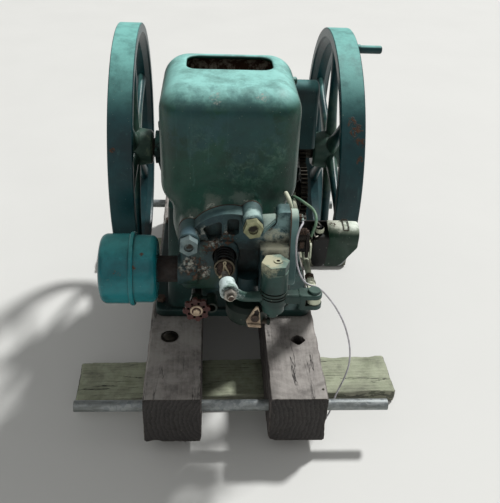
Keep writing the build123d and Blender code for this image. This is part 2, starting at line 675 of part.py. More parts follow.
# Fork on the front of the chest that holds the pivot bolt above and below the rocker
lug_radius = 22.5
fork_bottom_z = arm_bottom_z - 0.8 - low_lug_height
rocker_top_z = arm_bottom_z + rocker_height
upper_lug_z = rocker_top_z + 0.8
hex_bottom_z = upper_lug_z + 39.0
bracket = z_cylinder(low_lug_radius, fork_bottom_z, fork_bottom_z + low_lug_height, pivot_x, pivot_y)
upper_lug = z_cylinder(lug_radius, upper_lug_z, hex_bottom_z, pivot_x, pivot_y)
bracket += chamfer(upper_lug.edges().filter_by(GeomType.CIRCLE), 1.5)
bracket += block(pivot_x - 15, pivot_x + 15, pivot_y, chest_front_y, fork_bottom_z, fork_bottom_z + low_lug_height)
bracket += block(pivot_x - 12, pivot_x + 12, pivot_y, chest_front_y, upper_lug_z + 2, hex_bottom_z - 4)
pad = block(pivot_x - 20, pivot_x + 20, chest_front_y - 8, chest_front_y, fork_bottom_z, hex_bottom_z - 2)
bracket += fillet(pad.edges().filter_by(Axis.Y), 6)
swing_room = rocker_hub_radius + 2.5
bracket -= z_cylinder(swing_room, arm_bottom_z - 0.8, upper_lug_z, pivot_x, pivot_y)
bracket -= z_cylinder(pivot_radius + 0.02, fork_bottom_z - 5, hex_bottom_z + 5, pivot_x, pivot_y)
save(bracket, "pivot_bracket")

# Pivot bolt with a large hexagon head, an oil hole in its raised ring
post = z_cylinder(pivot_radius, fork_bottom_z - 12, hex_bottom_z + 1, pivot_x, pivot_y)
hex_head = z_hexagon(41, hex_bottom_z, hex_bottom_z + 15, pivot_x, pivot_y, 8)
post += crowned(hex_head, 41, "z")
post += z_cylinder(7.0, hex_bottom_z + 10, hex_bottom_z + 16.5, pivot_x + 4, pivot_y)
post -= z_cylinder(3.0, hex_bottom_z + 6, hex_bottom_z + 20, pivot_x + 4, pivot_y)
post += z_hexagon(22, fork_bottom_z - 9, fork_bottom_z, pivot_x, pivot_y)
save(post, "pivot_post")

# Rocker: ringed hub, smooth arm up to the barrel of the screw, fork for the rod
rocker = z_cylinder(rocker_hub_radius, arm_bottom_z, rocker_top_z, pivot_x, pivot_y)
for ring_z in (arm_bottom_z + 13, arm_bottom_z + 18.5):
    ring = z_cylinder(rocker_hub_radius + 1, ring_z, ring_z + 3, pivot_x, pivot_y)
    groove = z_cylinder(rocker_hub_radius - 2, ring_z, ring_z + 3, pivot_x, pivot_y)
    rocker -= ring - groove
arm_middle = arm_bottom_z + rocker_height / 2
lean = radians(screw_lean)
ball_y = spring_front_y - 7.0 - lash - screw_radius
screw_line = Pos(valve_x, ball_y, valve_z) * Rot(0, 0, screw_lean) * Rot(screw_dip, 0, 0)
barrel_centre = (screw_line * Pos(0, -barrel_reach - barrel_length / 2, 0)).position


# A cylinder along the leaning screw, measured forward from the ball on its end
def screw_piece(radius, reach0, reach1):
    return screw_line * y_cylinder(radius, -reach1, -reach0, 0, 0)


arm_start = (pivot_x - 10, pivot_y - 1, arm_middle)
arm_clear = (pivot_x - 28, pivot_y - 5, arm_middle)
arm_bend = (pivot_x - 48, pivot_y - 18, arm_middle + 9)
arm_end = (barrel_centre.X + 15, barrel_centre.Y + 1, barrel_centre.Z - 13)
arm_points = (arm_start, arm_clear, arm_bend, arm_end, tuple(barrel_centre))
arm_headings = ((-1, -0.1, 0), (-1, -0.4, 0.15), (-1, -0.7, 0.7), (-1, -0.4, 0.9), (-1, 0, 0.9))
arm_swells = (1.3, 1.1, 1.0, 1.0, 1.0)
rounds = []
for point, heading, swell in zip(arm_points, arm_headings, arm_swells):
    rounds.append(Plane(origin=point, x_dir=(0, 1, 0), z_dir=heading) * Circle(arm_radius * swell))
rocker += loft(rounds)
rocker += screw_piece(barrel_radius, barrel_reach, barrel_reach + barrel_length)
fork_x0 = pivot_x + rocker_hub_radius - 6
arm_plan = Pos(0, 0) * make_face(
    Polyline(
        (pivot_x, pivot_y - 15), (fork_x0 + 8, pivot_y - 10), (rod_x, pivot_y - clevis_radius),
        (rod_x, pivot_y + clevis_radius), (fork_x0 + 8, pivot_y + 10), (pivot_x, pivot_y + 15), close=True,
    )
)
fork_low = rod_z - clevis_height / 2
fork_arm = Pos(0, 0, arm_bottom_z + 1) * extrude(arm_plan, rod_z + clevis_height / 2 - arm_bottom_z - 2)
fork_arm = fillet(fork_arm.faces().sort_by(Axis.Z)[-1].edges(), 5)
rocker += fork_arm & block(pivot_x, rod_x - 15, -beyond, 0, 0, 900)
cheeks = z_cylinder(clevis_radius, fork_low, fork_low + clevis_height, rod_x, pivot_y)
cheek_left = rod_x - clevis_length
cheek = block(cheek_left, rod_x, pivot_y - clevis_radius, pivot_y + clevis_radius, fork_low, fork_low + clevis_height)
cheeks += fillet(cheek.edges().filter_by(Axis.Z).group_by(Axis.X)[0], 8)
cheeks = fillet(cheeks.faces().sort_by(Axis.Z)[-1].edges(), 3)
gap_half = clevis_gap / 2
cheeks -= block(rod_x - 16, rod_x + 40, pivot_y - 40, pivot_y + 40, rod_z - gap_half, rod_z + gap_half)
rocker += cheeks
rocker -= z_cylinder(pivot_radius + running_clearance, 200, 500, pivot_x, pivot_y)
fork_top = fork_low + clevis_height
rocker += z_cylinder(clevis_pin_radius, fork_low - 6, fork_top + 1, rod_x, pivot_y)
pin_head = z_cylinder(10.3, fork_top, fork_top + 4.6, rod_x, pivot_y)
rocker += chamfer(pin_head.edges().sort_by(Axis.Z)[-1], 0.8)
rocker -= screw_piece(screw_radius, -30, 80)
save(rocker, "rocker_arm")

# Adjusting screw with a round end on the valve stem and a lock nut in front
barrel_front = barrel_reach + barrel_length
screw_reach = barrel_front + screw_end
screw = screw_piece(screw_radius, 0, screw_reach) + Pos(valve_x, ball_y, valve_z) * Sphere(screw_radius)
screw += screw_line * y_hexagon(19, -barrel_front - 8, -barrel_front, 0, 0, 20)
screw += screw_line * y_hexagon(15, -barrel_reach + 2, -barrel_reach + 10, 0, 0, 10)
screw -= screw_line * block(-10, 10, -screw_reach - 1, -screw_reach + 2.2, -0.9, 0.9)
save(screw, "adjusting_screw")

# Muffler pressed in two halves with a rolled seam, and its nipple
muffler_radius = 61.0
muffler_left_x = -236.0
muffler_right_x = -139.0
seam_x = -181.0
shell = 4.0
left_half = x_cylinder(muffler_radius, muffler_left_x, seam_x, muffler_y, muffler_z)
left_half = fillet(left_half.edges().sort_by(Axis.X)[0], 12)
right_half = x_cylinder(muffler_radius - 2, seam_x, muffler_right_x, muffler_y, muffler_z)
right_half = fillet(right_half.edges().sort_by(Axis.X)[-1], 12)
seam = x_cylinder(muffler_radius + 3.5, seam_x - 4, seam_x + 4, muffler_y, muffler_z)
seam = fillet(seam.edges(), 3)
drum = left_half + right_half + seam
inner_radius = muffler_radius - 2 - shell
drum -= x_cylinder(inner_radius, muffler_left_x + shell, muffler_right_x - shell, muffler_y, muffler_z)
drum -= x_cylinder(nipple_radius, muffler_right_x - 10, muffler_right_x + 5, muffler_y, muffler_z)
save(drum, "muffler")
nipple = x_cylinder(nipple_radius, muffler_right_x - 5, nipple_x, muffler_y, muffler_z)
nipple -= x_cylinder(nipple_radius - 5, muffler_right_x - 10, nipple_x - 2, muffler_y, muffler_z)
save(nipple, "exhaust_nipple")

# Mixer: round fuel bowl on the intake neck, with a choke lever in front
bowl_radius = 38.0
bowl_bottom = 266.0
bowl_top = 306.0
bowl_points = [(0, bowl_bottom), (bowl_radius - 12, bowl_bottom), (bowl_radius - 3, bowl_bottom + 6)]
bowl_points += [(bowl_radius, bowl_bottom + 14), (bowl_radius, bowl_top - 7), (bowl_radius - 7, bowl_top), (0, bowl_top)]
bowl = Pos(mixer_x, mixer_y) * revolve(Plane.XZ * make_face(Polyline(*bowl_points, close=True)), Axis.Z, 360)
stub_y = mixer_y - 26.0
stub_z = bowl_bottom + 10.0
bowl += x_cylinder(4.5, mixer_x + 18, mixer_x + bowl_radius + 1, stub_y, stub_z)
bowl += x_hexagon(12, mixer_x + bowl_radius - 4, mixer_x + bowl_radius, stub_y, stub_z)
bowl += z_cylinder(19, bowl_bottom + 14, intake_z, mixer_x, intake_y)
bowl += block(mixer_x - 17, mixer_x + 17, mixer_y, intake_y, bowl_bottom + 14, intake_z)
bowl -= z_cylinder(22, intake_z, bowl_top + 5, mixer_x, intake_y)
bowl -= block(mixer_x - 60, mixer_x + 60, head_front_y - 1, 0, intake_z, bowl_top + 5)
choke_x = mixer_x + 11
choke_z = 296.0
choke_radius = 4.0
bowl -= y_cylinder(choke_radius, mixer_y - 45, mixer_y - bowl_radius + 10, choke_x, choke_z)
save(bowl, "mixer")
lever_back_y = mixer_y - bowl_radius - 0.4
lever_shape = ((-15, -8), (-12, -18), (11, -20), (8, 10), (5, 22), (1, 22))
lever_outline = make_face(Polyline(*[(choke_x + x, choke_z + z) for x, z in lever_shape], close=True))
lever = y_plate(fillet(lever_outline.vertices(), 1.8), lever_back_y - 4, lever_back_y)
lever -= y_cylinder(choke_radius + running_clearance, lever_back_y - 30, lever_back_y + 30, choke_x, choke_z)
lever -= y_cylinder(2.6, lever_back_y - 30, lever_back_y + 30, choke_x + 1, choke_z + 13)
save(lever, "choke_lever")
pin_back_y = mixer_y - bowl_radius + 10
choke_pin = y_cylinder(choke_radius, lever_back_y - 8, pin_back_y, choke_x, choke_z)
choke_pin += y_cylinder(7, lever_back_y - 8, lever_back_y - 4.5, choke_x, choke_z)
save(choke_pin, "choke_pin")

# Drain valve under the cylinder: body, bonnet, outlet nozzle and stem
wheel_y = -368.0
bonnet_y = wheel_y + 24.0
drain = y_cylinder(9.5, bonnet_y - 2, drain_y + 12, drain_x, drain_z)
drain += y_hexagon(22, bonnet_y, bonnet_y + 10, drain_x, drain_z, 10)
drain += z_cylinder(9, drain_z, drain_z + 10, drain_x, drain_y)
nozzle_x = drain_x + 26
drain += x_cylinder(7, drain_x, nozzle_x, bonnet_y + 3, drain_z)
drain += y_cylinder(10, wheel_y + 3.5, bonnet_y + 11, nozzle_x, drain_z)
drain -= y_cylinder(7, wheel_y, bonnet_y - 6, nozzle_x, drain_z)
drain += y_cylinder(4, wheel_y - 9, bonnet_y + 2, drain_x, drain_z)
save(drain, "drain_valve")

# Handwheel with eight finger lobes and eight holes
lobe_circle = 19.5
handwheel_sketch = Circle(20.0)
for n in range(8):
    angle = 2 * pi * n / 8
    handwheel_sketch += Pos(lobe_circle * cos(angle), lobe_circle * sin(angle)) * Circle(4.6)
for n in range(8):
    angle = 2 * pi * (n + 0.5) / 8
    handwheel_sketch -= Pos(14.5 * cos(angle), 14.5 * sin(angle)) * Circle(2.6)
handwheel = y_plate(Pos(drain_x, drain_z) * Rot(0, 0, 8) * handwheel_sketch, wheel_y - 3, wheel_y + 3)
handwheel += y_cylinder(8, wheel_y - 6, wheel_y + 4, drain_x, drain_z)
handwheel -= y_cylinder(4.05, wheel_y - 15, wheel_y + 15, drain_x, drain_z)
save(handwheel, "drain_handwheel")

# Igniter: oval plate on the side of the chest
plate_x = chest_right_x + 14.0
plate_round = 19.0
upper_round = Pos(-318, tower_top_z - 1 - plate_round) * Circle(plate_round)
lower_round = Pos(-324, 345) * Circle(plate_round + 4)
plate_outline = make_hull(upper_round.edges() + lower_round.edges())
plate = x_plate(plate_outline, chest_right_x + 2, plate_x)
plate = chamfer(plate.faces().sort_by(Axis.X)[-1].edges(), 1.5)
plate += x_plate(offset(plate_outline, -1.0), chest_right_x, chest_right_x + 2)
for y, z in ((wire_stud_y, wire_stud_z), (-324, 345)):
    plate += x_hexagon(12, plate_x - 1, plate_x + 6, y, z, 15)
    plate += x_cylinder(3.6, plate_x, plate_x + 13, y, z)
wire_start_y = wire_stud_y - 12.0
plate += x_cylinder(6, plate_x + 6, plate_x + 8, wire_stud_y, wire_stud_z)
plate += y_cylinder(wire_radius + 1, wire_start_y, wire_stud_y, plate_x + 7, wire_stud_z)
save(plate, "igniter_plate")

# Igniter points gear: insulated stud, moving shaft, return spring and trip arm
lead_end = (plate_x + 27, terminal_y - 4, terminal_z + 12)
lead_last = (plate_x + 28.5, terminal_y - 7, terminal_z + 23)
stud = x_cylinder(7, plate_x, plate_x + 11, terminal_y, terminal_z)
stud += x_cylinder(3.6, plate_x + 9, plate_x + 31, terminal_y, terminal_z)
stud += x_hexagon(12, plate_x + 11, plate_x + 17, terminal_y, terminal_z, 20)
stud += x_cylinder(7.2, plate_x + 25, plate_x + 27, terminal_y, terminal_z)
ferrule_line = Plane(origin=lead_end, z_dir=Vector(*lead_end) - Vector(*lead_last))
stud += extrude(ferrule_line * Circle(lead_radius + 0.9), 7)
save(stud, "igniter_stud")
shaft_y = -326.0
shaft_z = 420.0
points = x_cylinder(4.5, plate_x, plate_x + 21, shaft_y, shaft_z)
points += x_cylinder(8, plate_x, plate_x + 5, shaft_y, shaft_z)
for ring_x in (7.5, 10.5, 13.5):
    points += x_cylinder(7.6, plate_x + ring_x - 0.9, plate_x + ring_x + 0.9, shaft_y, shaft_z)
arm_outline = make_hull((Pos(shaft_y, shaft_z) * Circle(7)).edges() + (Pos(shaft_y - 2, shaft_z - 38) * Circle(4.5)).edges())
points += x_plate(arm_outline, plate_x + 16, plate_x + 21)
save(points, "igniter_trip")

# Magneto bracket: rear plate and the leg on the igniter plate
bracket_top = 415.0
magneto_back_y = -264.0
sheet = block(plate_x, 164, magneto_back_y - 3, magneto_back_y, 350, bracket_top)
sheet += block(plate_x, plate_x + 3, magneto_back_y - 32, magneto_back_y, 385, bracket_top)
sheet += block(plate_x, plate_x + 3, magneto_back_y - 48, magneto_back_y, bracket_top - 8.5, bracket_top)
save(sheet, "magneto_bracket")

# Black magneto end frame with a rounded foot
magneto_left_x = 131.0
magneto_split_x = 158.0
magneto_right_x = 215.0
magneto_bottom = 333.5
magneto_front_y = -310.0
frame_outline = Pos((magneto_left_x + magneto_split_x) / 2, (magneto_bottom + 408) / 2)
frame_outline *= Rectangle(magneto_split_x - magneto_left_x, 408 - magneto_bottom)
frame_outline = fillet(frame_outline.vertices().group_by(Axis.Y)[0], 13)
frame = y_plate(frame_outline, magneto_front_y, magneto_back_y - 3.2)
frame = fillet(frame.edges().filter_by(Axis.X).group_by(Axis.Z)[-1], 6)
terminal_x = magneto_left_x + 11.0
frame += z_cylinder(2.6, 404, 425, terminal_x, magneto_front_y + 13)
frame += z_cylinder(7, 411, 420, terminal_x, magneto_front_y + 13)
save(frame, "magneto_magnets")

# Green magneto cover with a round top
cover_height = 423.0
cover_slope = (30.0, 52.0)
low_right = (magneto_right_x - cover_slope[0], magneto_bottom)
high_right = (magneto_right_x, magneto_bottom + cover_slope[1])
cover_left = magneto_split_x + 0.3
cover_points = [(cover_left, magneto_bottom), low_right, high_right, (magneto_right_x, cover_height), (cover_left, cover_height)]
cover = y_plate(make_face(Polyline(*cover_points, close=True)), magneto_front_y + 2, magneto_back_y)
cover = fillet(cover.edges().filter_by(Axis.Y).group_by(Axis.Z)[0].sort_by(Axis.X)[-1], 16)
cover = fillet(cover.edges().filter_by(Axis.X).group_by(Axis.Z)[-1], 17)
cover = fillet(cover.faces().sort_by(Axis.X)[-1].edges(), 3)
cover -= block(magneto_split_x, 164.5, magneto_back_y - 3.2, 0, 300, 500)
save(cover, "magneto_cover")


# Round cable of straight runs joined by arcs, with its path's length
def cable(points, radius, name):
    spots = [Vector(*point) for point in points]
    radii = []
    for before, here, after in zip(spots, spots[1:], spots[2:]):
        turn = radians((here - before).get_angle(after - here))
        shorter = min((here - before).length, (after - here).length)
        radii.append(0.45 * shorter / tan(turn / 2))
    path = FilletPolyline(*points, radius=radii)
    start = Plane(origin=points[0], z_dir=spots[1] - spots[0])
    tube = sweep(start * Circle(radius), path=path)
    print(name, "length", round(path.length, 1), "arc radii", [round(r, 1) for r in radii])
    print(name, "volume over section times length", round(tube.volume / (pi * radius**2 * path.length), 4))
    save(tube, name)


# Ignition lead from the saddle, under the hopper corner and over the magneto bracket
lead_points = [
    (104, saddle_back_y, 393), (104, saddle_back_y - 26, 393), (104.5, -134, 399), (105, -162, 408),
    (105, -190, 419), (103, -214, 431), (99.5, -237, 449), (108.5, -254, 451.7), (119, -265, 448.9),
    (126.9, -277, 448), (131.3, -289, 447), (133.6, -302, 441.6), (131.6, -311.5, 432), lead_last, lead_end,
]
cable(lead_points, lead_radius, "ignition_lead")

# Loose wire from the igniter plate, over the push rod and down to the ground
wire_points = [
    (plate_x + 7, wire_start_y, wire_stud_z), (plate_x + 7, wire_start_y - 7, wire_stud_z), (103, -345, 453),
    (97.5, -354, 448), (94.1, -357, 431), (95.4, -357, 401.3), (98.6, -357.5, 381.2), (104.5, -362, 364.2),
    (112.6, -364, 351), (122, -366, 345.5), (134, -366.5, 343.5), (147, -366, 332), (159, -362, 315.9),
    (177, -356, 287.3), (196.9, -350, 246.4), (212.9, -345, 195), (217.7, -345, 153.2), (212.8, -343, 112.5),
    (206, -335, 75), (201, -330, 42), (197.5, -331, 18), (191, -338, 4.5), (181, -347, 1.7), (171, -355, 1.7),
]
cable(wire_points, wire_radius, "loose_wire")
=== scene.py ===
import bmesh
import bpy
from math import cos, pi, radians, sin, sqrt
from mathutils import Matrix, Vector, noise as lumps
from mathutils.geometry import convex_hull_2d


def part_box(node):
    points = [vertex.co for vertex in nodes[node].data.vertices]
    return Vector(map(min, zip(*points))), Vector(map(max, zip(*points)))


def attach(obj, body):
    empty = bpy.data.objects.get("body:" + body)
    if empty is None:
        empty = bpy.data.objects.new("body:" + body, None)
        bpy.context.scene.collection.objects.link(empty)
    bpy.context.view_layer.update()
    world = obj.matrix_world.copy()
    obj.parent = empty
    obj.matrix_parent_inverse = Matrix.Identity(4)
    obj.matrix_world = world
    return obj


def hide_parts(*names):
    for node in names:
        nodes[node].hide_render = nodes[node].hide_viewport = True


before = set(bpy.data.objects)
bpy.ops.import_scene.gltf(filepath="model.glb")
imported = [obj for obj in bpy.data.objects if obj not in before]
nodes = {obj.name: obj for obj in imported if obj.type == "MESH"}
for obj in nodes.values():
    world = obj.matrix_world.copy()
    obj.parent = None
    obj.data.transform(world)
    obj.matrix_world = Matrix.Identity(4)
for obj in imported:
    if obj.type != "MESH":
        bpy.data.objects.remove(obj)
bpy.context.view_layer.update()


# A point given in millimetres
def mm(x, y, z):
    return Vector((x, y, z)) / 1000


# A new object, linked to the scene
def in_scene(name, data):
    obj = bpy.data.objects.new(name, data)
    bpy.context.scene.collection.objects.link(obj)
    return obj


# Camera at the photograph's place, with its focal length and the frame's height in pixels
FOCAL_LENGTH = 691.92
FRAME_HEIGHT = 503
SENSOR_HEIGHT = 36.0
CAMERA_PLACE = (-49.98, -1325.40, 1026.85)
YAW, PITCH_DOWN, ROLL = 4.012, 32.530, 2.549


def place_camera():
    yaw, pitch, roll = radians(YAW), radians(PITCH_DOWN), radians(ROLL)
    forward = Vector((sin(yaw) * cos(pitch), cos(yaw) * cos(pitch), -sin(pitch)))
    level = Vector((cos(yaw), -sin(yaw), 0))
    upward = level.cross(forward)
    right = level * cos(roll) + upward * sin(roll)
    up = upward * cos(roll) - level * sin(roll)
    data = bpy.data.cameras.new("camera")
    data.sensor_fit = "VERTICAL"
    data.sensor_height = SENSOR_HEIGHT
    data.lens = FOCAL_LENGTH / FRAME_HEIGHT * SENSOR_HEIGHT
    data.clip_end = 50
    camera = in_scene("camera", data)
    matrix = Matrix((right, up, -forward)).transposed().to_4x4()
    matrix.translation = mm(*CAMERA_PLACE)
    camera.matrix_world = matrix
    bpy.context.scene.camera = camera


place_camera()


# A colour given in screen values from 0 to 255
def tint(red, green, blue):
    return tuple(((c / 255 + 0.055) / 1.055) ** 2.4 for c in (red, green, blue)) + (1.0,)


# Links a node's output to a socket, or sets the socket's value
def feed(tree, socket, value):
    if isinstance(value, bpy.types.NodeSocket):
        tree.links.new(value, socket)
    else:
        socket.default_value = value


# A shader node with its settings and the values or links of its inputs
def node(tree, kind, values=None, **settings):
    made = tree.nodes.new("ShaderNode" + kind)
    for key, value in settings.items():
        setattr(made, key, value)
    for key, value in (values or {}).items():
        feed(tree, made.inputs[key], value)
    return made


def noise(tree, where, scale, detail=3.0, rough=0.55, distortion=0.0):
    values = {"Vector": where, "Scale": scale, "Detail": detail, "Roughness": rough, "Distortion": distortion}
    return node(tree, "TexNoise", values).outputs["Fac"]


# A value taken smoothly from one range to another
def span(tree, value, low, high, start=0.0, end=1.0):
    values = {"Value": value, "From Min": low, "From Max": high, "To Min": start, "To Max": end}
    return node(tree, "MapRange", values, interpolation_type="SMOOTHSTEP").outputs[0]


# Two values worked out, with the result kept between 0 and 1
def calc(tree, operation, first, second=0.0):
    return node(tree, "Math", {0: first, 1: second}, operation=operation, use_clamp=True).outputs[0]


def blend(tree, mask, first, second, kind="MIX"):
    made = node(tree, "Mix", data_type="RGBA", blend_type=kind)
    feed(tree, made.inputs[0], mask)
    feed(tree, made.inputs[6], first)
    feed(tree, made.inputs[7], second)
    return made.outputs[2]


def times(tree, first, second):
    return calc(tree, "MULTIPLY", first, second)


def plus(tree, first, second):
    return calc(tree, "ADD", first, second)


# The larger of two values
def most(tree, first, second):
    return calc(tree, "MAXIMUM", first, second)


# Two values worked out without that limit
def free_calc(tree, operation, first, second=0.0):
    return node(tree, "Math", {0: first, 1: second}, operation=operation).outputs[0]


def vector_calc(tree, operation, first, second, output=0):
    return node(tree, "VectorMath", {0: first, 1: second}, operation=operation).outputs[output]


# One of the X, Y and Z parts of a vector
def part_of(tree, vector, axis):
    return node(tree, "SeparateXYZ", {0: vector}).outputs[axis]


def stretched(tree, where, scale, turn=(0, 0, 0)):
    values = {"Vector": where, "Rotation": turn, "Scale": scale}
    return node(tree, "Mapping", values).outputs[0]


# The surface's own normal, in the piece's coordinates
def own_normal(tree):
    return node(tree, "TexCoord").outputs["Normal"]


ORIGIN = (0.0, 0.0, 0.0)


# Shared effects: each is a group that is given a place, with its other inputs and its outputs by name
def group(name, inputs, outputs):
    tree = bpy.data.node_groups.new(name, "ShaderNodeTree")
    for label, value in {"Where": ORIGIN, **inputs}.items():
        kind = "Float" if isinstance(value, float) else "Vector"
        made = tree.interface.new_socket(label, in_out="INPUT", socket_type="NodeSocket" + kind)
        made.default_value = value
    for label in outputs:
        kind = "Color" if label == "Color" else "Float"
        tree.interface.new_socket(label, in_out="OUTPUT", socket_type="NodeSocket" + kind)
    return tree, tree.nodes.new("NodeGroupInput").outputs, tree.nodes.new("NodeGroupOutput").inputs


def effect(tree, name, values):
    return node(tree, "Group", values, node_tree=bpy.data.node_groups[name]).outputs


# Worn corners, broken up by a noise
def edge_wear_group():
    tree, given, out = group("edge wear", {"Radius": 0.003, "Low": 0.05, "High": 0.25}, ["Mask"])
    rounded = node(tree, "Bevel", {"Radius": given["Radius"]}, samples=6).outputs[0]
    flat = node(tree, "NewGeometry").outputs["Normal"]
    facing = vector_calc(tree, "DOT_PRODUCT", rounded, flat, "Value")
    bent = calc(tree, "SUBTRACT", 1.0, facing)
    edge = span(tree, bent, given["Low"], given["High"])
    broken = span(tree, noise(tree, given["Where"], 55, 6, 0.7), 0.36, 0.62)
    feed(tree, out["Mask"], times(tree, edge, broken))


# Dirt that settles in corners, with painted shade there: the less open air reaches a place, the darker it is
def grime_and_shade_group():
    tree, given, out = group("grime_and_shade", {"Reach": 0.02, "Amount": 1.0}, ["Mask"])
    open_air = node(tree, "AmbientOcclusion", {"Distance": given["Reach"]}, samples=6).outputs["AO"]
    closed = span(tree, open_air, 0.95, 0.35)
    patchy = span(tree, noise(tree, given["Where"], 70, 5, 0.65), 0.25, 0.7, 0.35, 1.0)
    mask = times(tree, closed, patchy)
    feed(tree, out["Mask"], times(tree, mask, given["Amount"]))


# Rust: where it breaks out, its mixed browns and its pitted height
def rust_group():
    tree, given, out = group("rust", {"Scale": 40.0, "Cover": 0.3}, ["Mask", "Color", "Height"])
    where = given["Where"]
    cloud = noise(tree, where, given["Scale"], 9, 0.72, 0.6)
    speck = noise(tree, where, 360, 3, 0.6)
    mixed = plus(tree, times(tree, cloud, 0.78), times(tree, speck, 0.22))
    start = calc(tree, "SUBTRACT", 0.8, times(tree, given["Cover"], 0.5))
    feed(tree, out["Mask"], span(tree, mixed, start, plus(tree, start, 0.045)))
    mottle = noise(tree, where, 170, 6, 0.7)
    brown = blend(tree, span(tree, mottle, 0.35, 0.62), tint(38, 28, 23), tint(78, 57, 44))
    speckle = noise(tree, where, 620, 3, 0.6)
    feed(tree, out["Color"], blend(tree, span(tree, speckle, 0.56, 0.76), brown, tint(120, 92, 70)))
    feed(tree, out["Height"], noise(tree, where, 480, 5, 0.7))


# How high a place is, from 0 at one height in metres to 1 at another
def height_mask(tree, where, low, high):
    return span(tree, part_of(tree, where, "Z"), low, high)


# Sun-bleached paint with painted sunlight on what faces up above a height, in clouds
def sun_fade_and_light_group():
    tree, given, out = group("sun fade", {"Amount": 1.0, "Above": 0.0, "Steep": 0.25}, ["Mask"])
    upward = span(tree, part_of(tree, own_normal(tree), "Z"), given["Steep"], 0.97)
    cloud = noise(tree, given["Where"], 26, 8, 0.7)
    clouded = span(tree, cloud, 0.3, 0.62, 0.5, 1.0)
    mask = times(tree, upward, clouded)
    high = height_mask(tree, given["Where"], given["Above"], plus(tree, given["Above"], 0.05))
    mask = times(tree, mask, high)
    feed(tree, out["Mask"], times(tree, mask, given["Amount"]))


# Lumpy skin left by a sand mould
def cast_skin_group():
    tree, given, out = group("cast skin", {}, ["Height"])
    broad = times(tree, noise(tree, given["Where"], 60, 3, 0.5), 0.6)
    sand = times(tree, noise(tree, given["Where"], 520, 4, 0.6), 0.4)
    feed(tree, out["Height"], plus(tree, broad, sand))


# Wood with its grain along the X of the given coordinates
def wood_group():
    tree, given, out = group("wood", {"Pith": ORIGIN}, ["Tone", "Crack", "Height"])
    where = given["Where"]
    from_pith = vector_calc(tree, "SUBTRACT", where, given["Pith"])
    wavy = stretched(tree, from_pith, (0.35, 1, 1))
    values = {"Vector": wavy, "Scale": 38.0, "Distortion": 5.0}
    values |= {"Detail": 3.0, "Detail Scale": 1.6, "Detail Roughness": 0.6}
    rings = node(tree, "TexWave", values, wave_type="RINGS", rings_direction="X", wave_profile="SAW")
    rings = rings.outputs["Fac"]
    fibre = noise(tree, stretched(tree, where, (6, 170, 170)), 1.0, 5, 0.65)
    blotch = noise(tree, stretched(tree, where, (5, 16, 16)), 1.0, 4, 0.6)
    grain = plus(tree, times(tree, rings, 0.28), times(tree, fibre, 0.5))
    feed(tree, out["Tone"], plus(tree, grain, times(tree, blotch, 0.3)))
    line = noise(tree, stretched(tree, where, (3.2, 42, 42)), 1.0, 5, 0.6, 0.3)
    off_line = free_calc(tree, "ABSOLUTE", free_calc(tree, "SUBTRACT", line, 0.5))
    thin = span(tree, off_line, 0.012, 0.003)
    here = span(tree, noise(tree, stretched(tree, where, (6, 30, 30)), 1.0, 2), 0.52, 0.62)
    crack = times(tree, thin, here)
    feed(tree, out["Crack"], crack)
    raised = plus(tree, times(tree, fibre, 0.6), times(tree, rings, 0.25))
    feed(tree, out["Height"], calc(tree, "SUBTRACT", times(tree, raised, 0.8), crack))


# A ragged blot round one point
def blot_group():
    tree, given, out = group("blot", {"Centre": ORIGIN, "Size": 0.02, "Soft": 0.6}, ["Mask"])
    away = vector_calc(tree, "DISTANCE", given["Where"], given["Centre"], "Value")
    ragged = span(tree, noise(tree, given["Where"], 45, 6, 0.7), 0.3, 0.7, 0.5, 1.4)
    limit = free_calc(tree, "MULTIPLY", ragged, given["Size"])
    inner = times(tree, limit, given["Soft"])
    feed(tree, out["Mask"], span(tree, away, limit, inner))


for make in (
    edge_wear_group, grime_and_shade_group, rust_group, sun_fade_and_light_group, cast_skin_group, wood_group, blot_group,
):
    make()


# A new material, its tree, its shader and the piece's own coordinates
def material(name):
    made = bpy.data.materials.new(name)
    made.use_nodes = True
    tree = made.node_tree
    where = node(tree, "TexCoord").outputs["Object"]
    return made, tree, tree.nodes["Principled BSDF"], where


# Gives the shader its colour, roughness and relief, whose depth is in metres
def surface(tree, shader, color, rough, height, depth, metallic=None):
    feed(tree, shader.inputs["Base Color"], color)
    feed(tree, shader.inputs["Roughness"], rough)
    if metallic is not None:
        feed(tree, shader.inputs["Metallic"], metallic)
    bump = node(tree, "Bump", {"Height": height, "Distance": depth, "Strength": 1.0})
    feed(tree, shader.inputs["Normal"], bump.outputs[0])


# Walls that face inwards within a box given by two corners, in millimetres
def inside_mask(tree, where, low, high):
    parts = node(tree, "SeparateXYZ", {0: where}).outputs
    soft = 0.003
    mask = 1.0
    for axis in range(3):
        first, last = low[axis] / 1000, high[axis] / 1000
        mask = times(tree, span(tree, parts[axis], first, first + soft), mask)
        mask = times(tree, span(tree, parts[axis], last, last - soft), mask)
    middle = (mm(*low) + mm(*high)) / 2
    outwards = vector_calc(tree, "SUBTRACT", where, middle)
    facing = vector_calc(tree, "DOT_PRODUCT", outwards, own_normal(tree), "Value")
    return times(tree, mask, span(tree, facing, 0.004, -0.004))


# A blot's mask, with its centre and size in millimetres
def blot(tree, where, centre, size, soft=0.6):
    values = {"Where": where, "Centre": mm(*centre), "Size": size / 1000, "Soft": soft}
    return effect(tree, "blot", values)["Mask"]


# Masks of several blots, all broken up by one noise
def broken_blots(tree, where, spots, soft, grain, limits):
    if not spots:
        return []
    patchy = span(tree, noise(tree, where, *grain), *limits)
    return [times(tree, blot(tree, where, *spot[:2], soft), patchy) for spot in spots]


# Masks of worn corners and of settled dirt with painted shade in hollows, with radius and reach in metres
def worn_edge(tree, where, radius, low, high):
    values = {"Where": where, "Radius": radius, "Low": low, "High": high}
    return effect(tree, "edge wear", values)["Mask"]


def settled_dirt_and_shade(tree, where, reach, amount):
    return effect(tree, "grime_and_shade", {"Where": where, "Reach": reach, "Amount": amount})["Mask"]


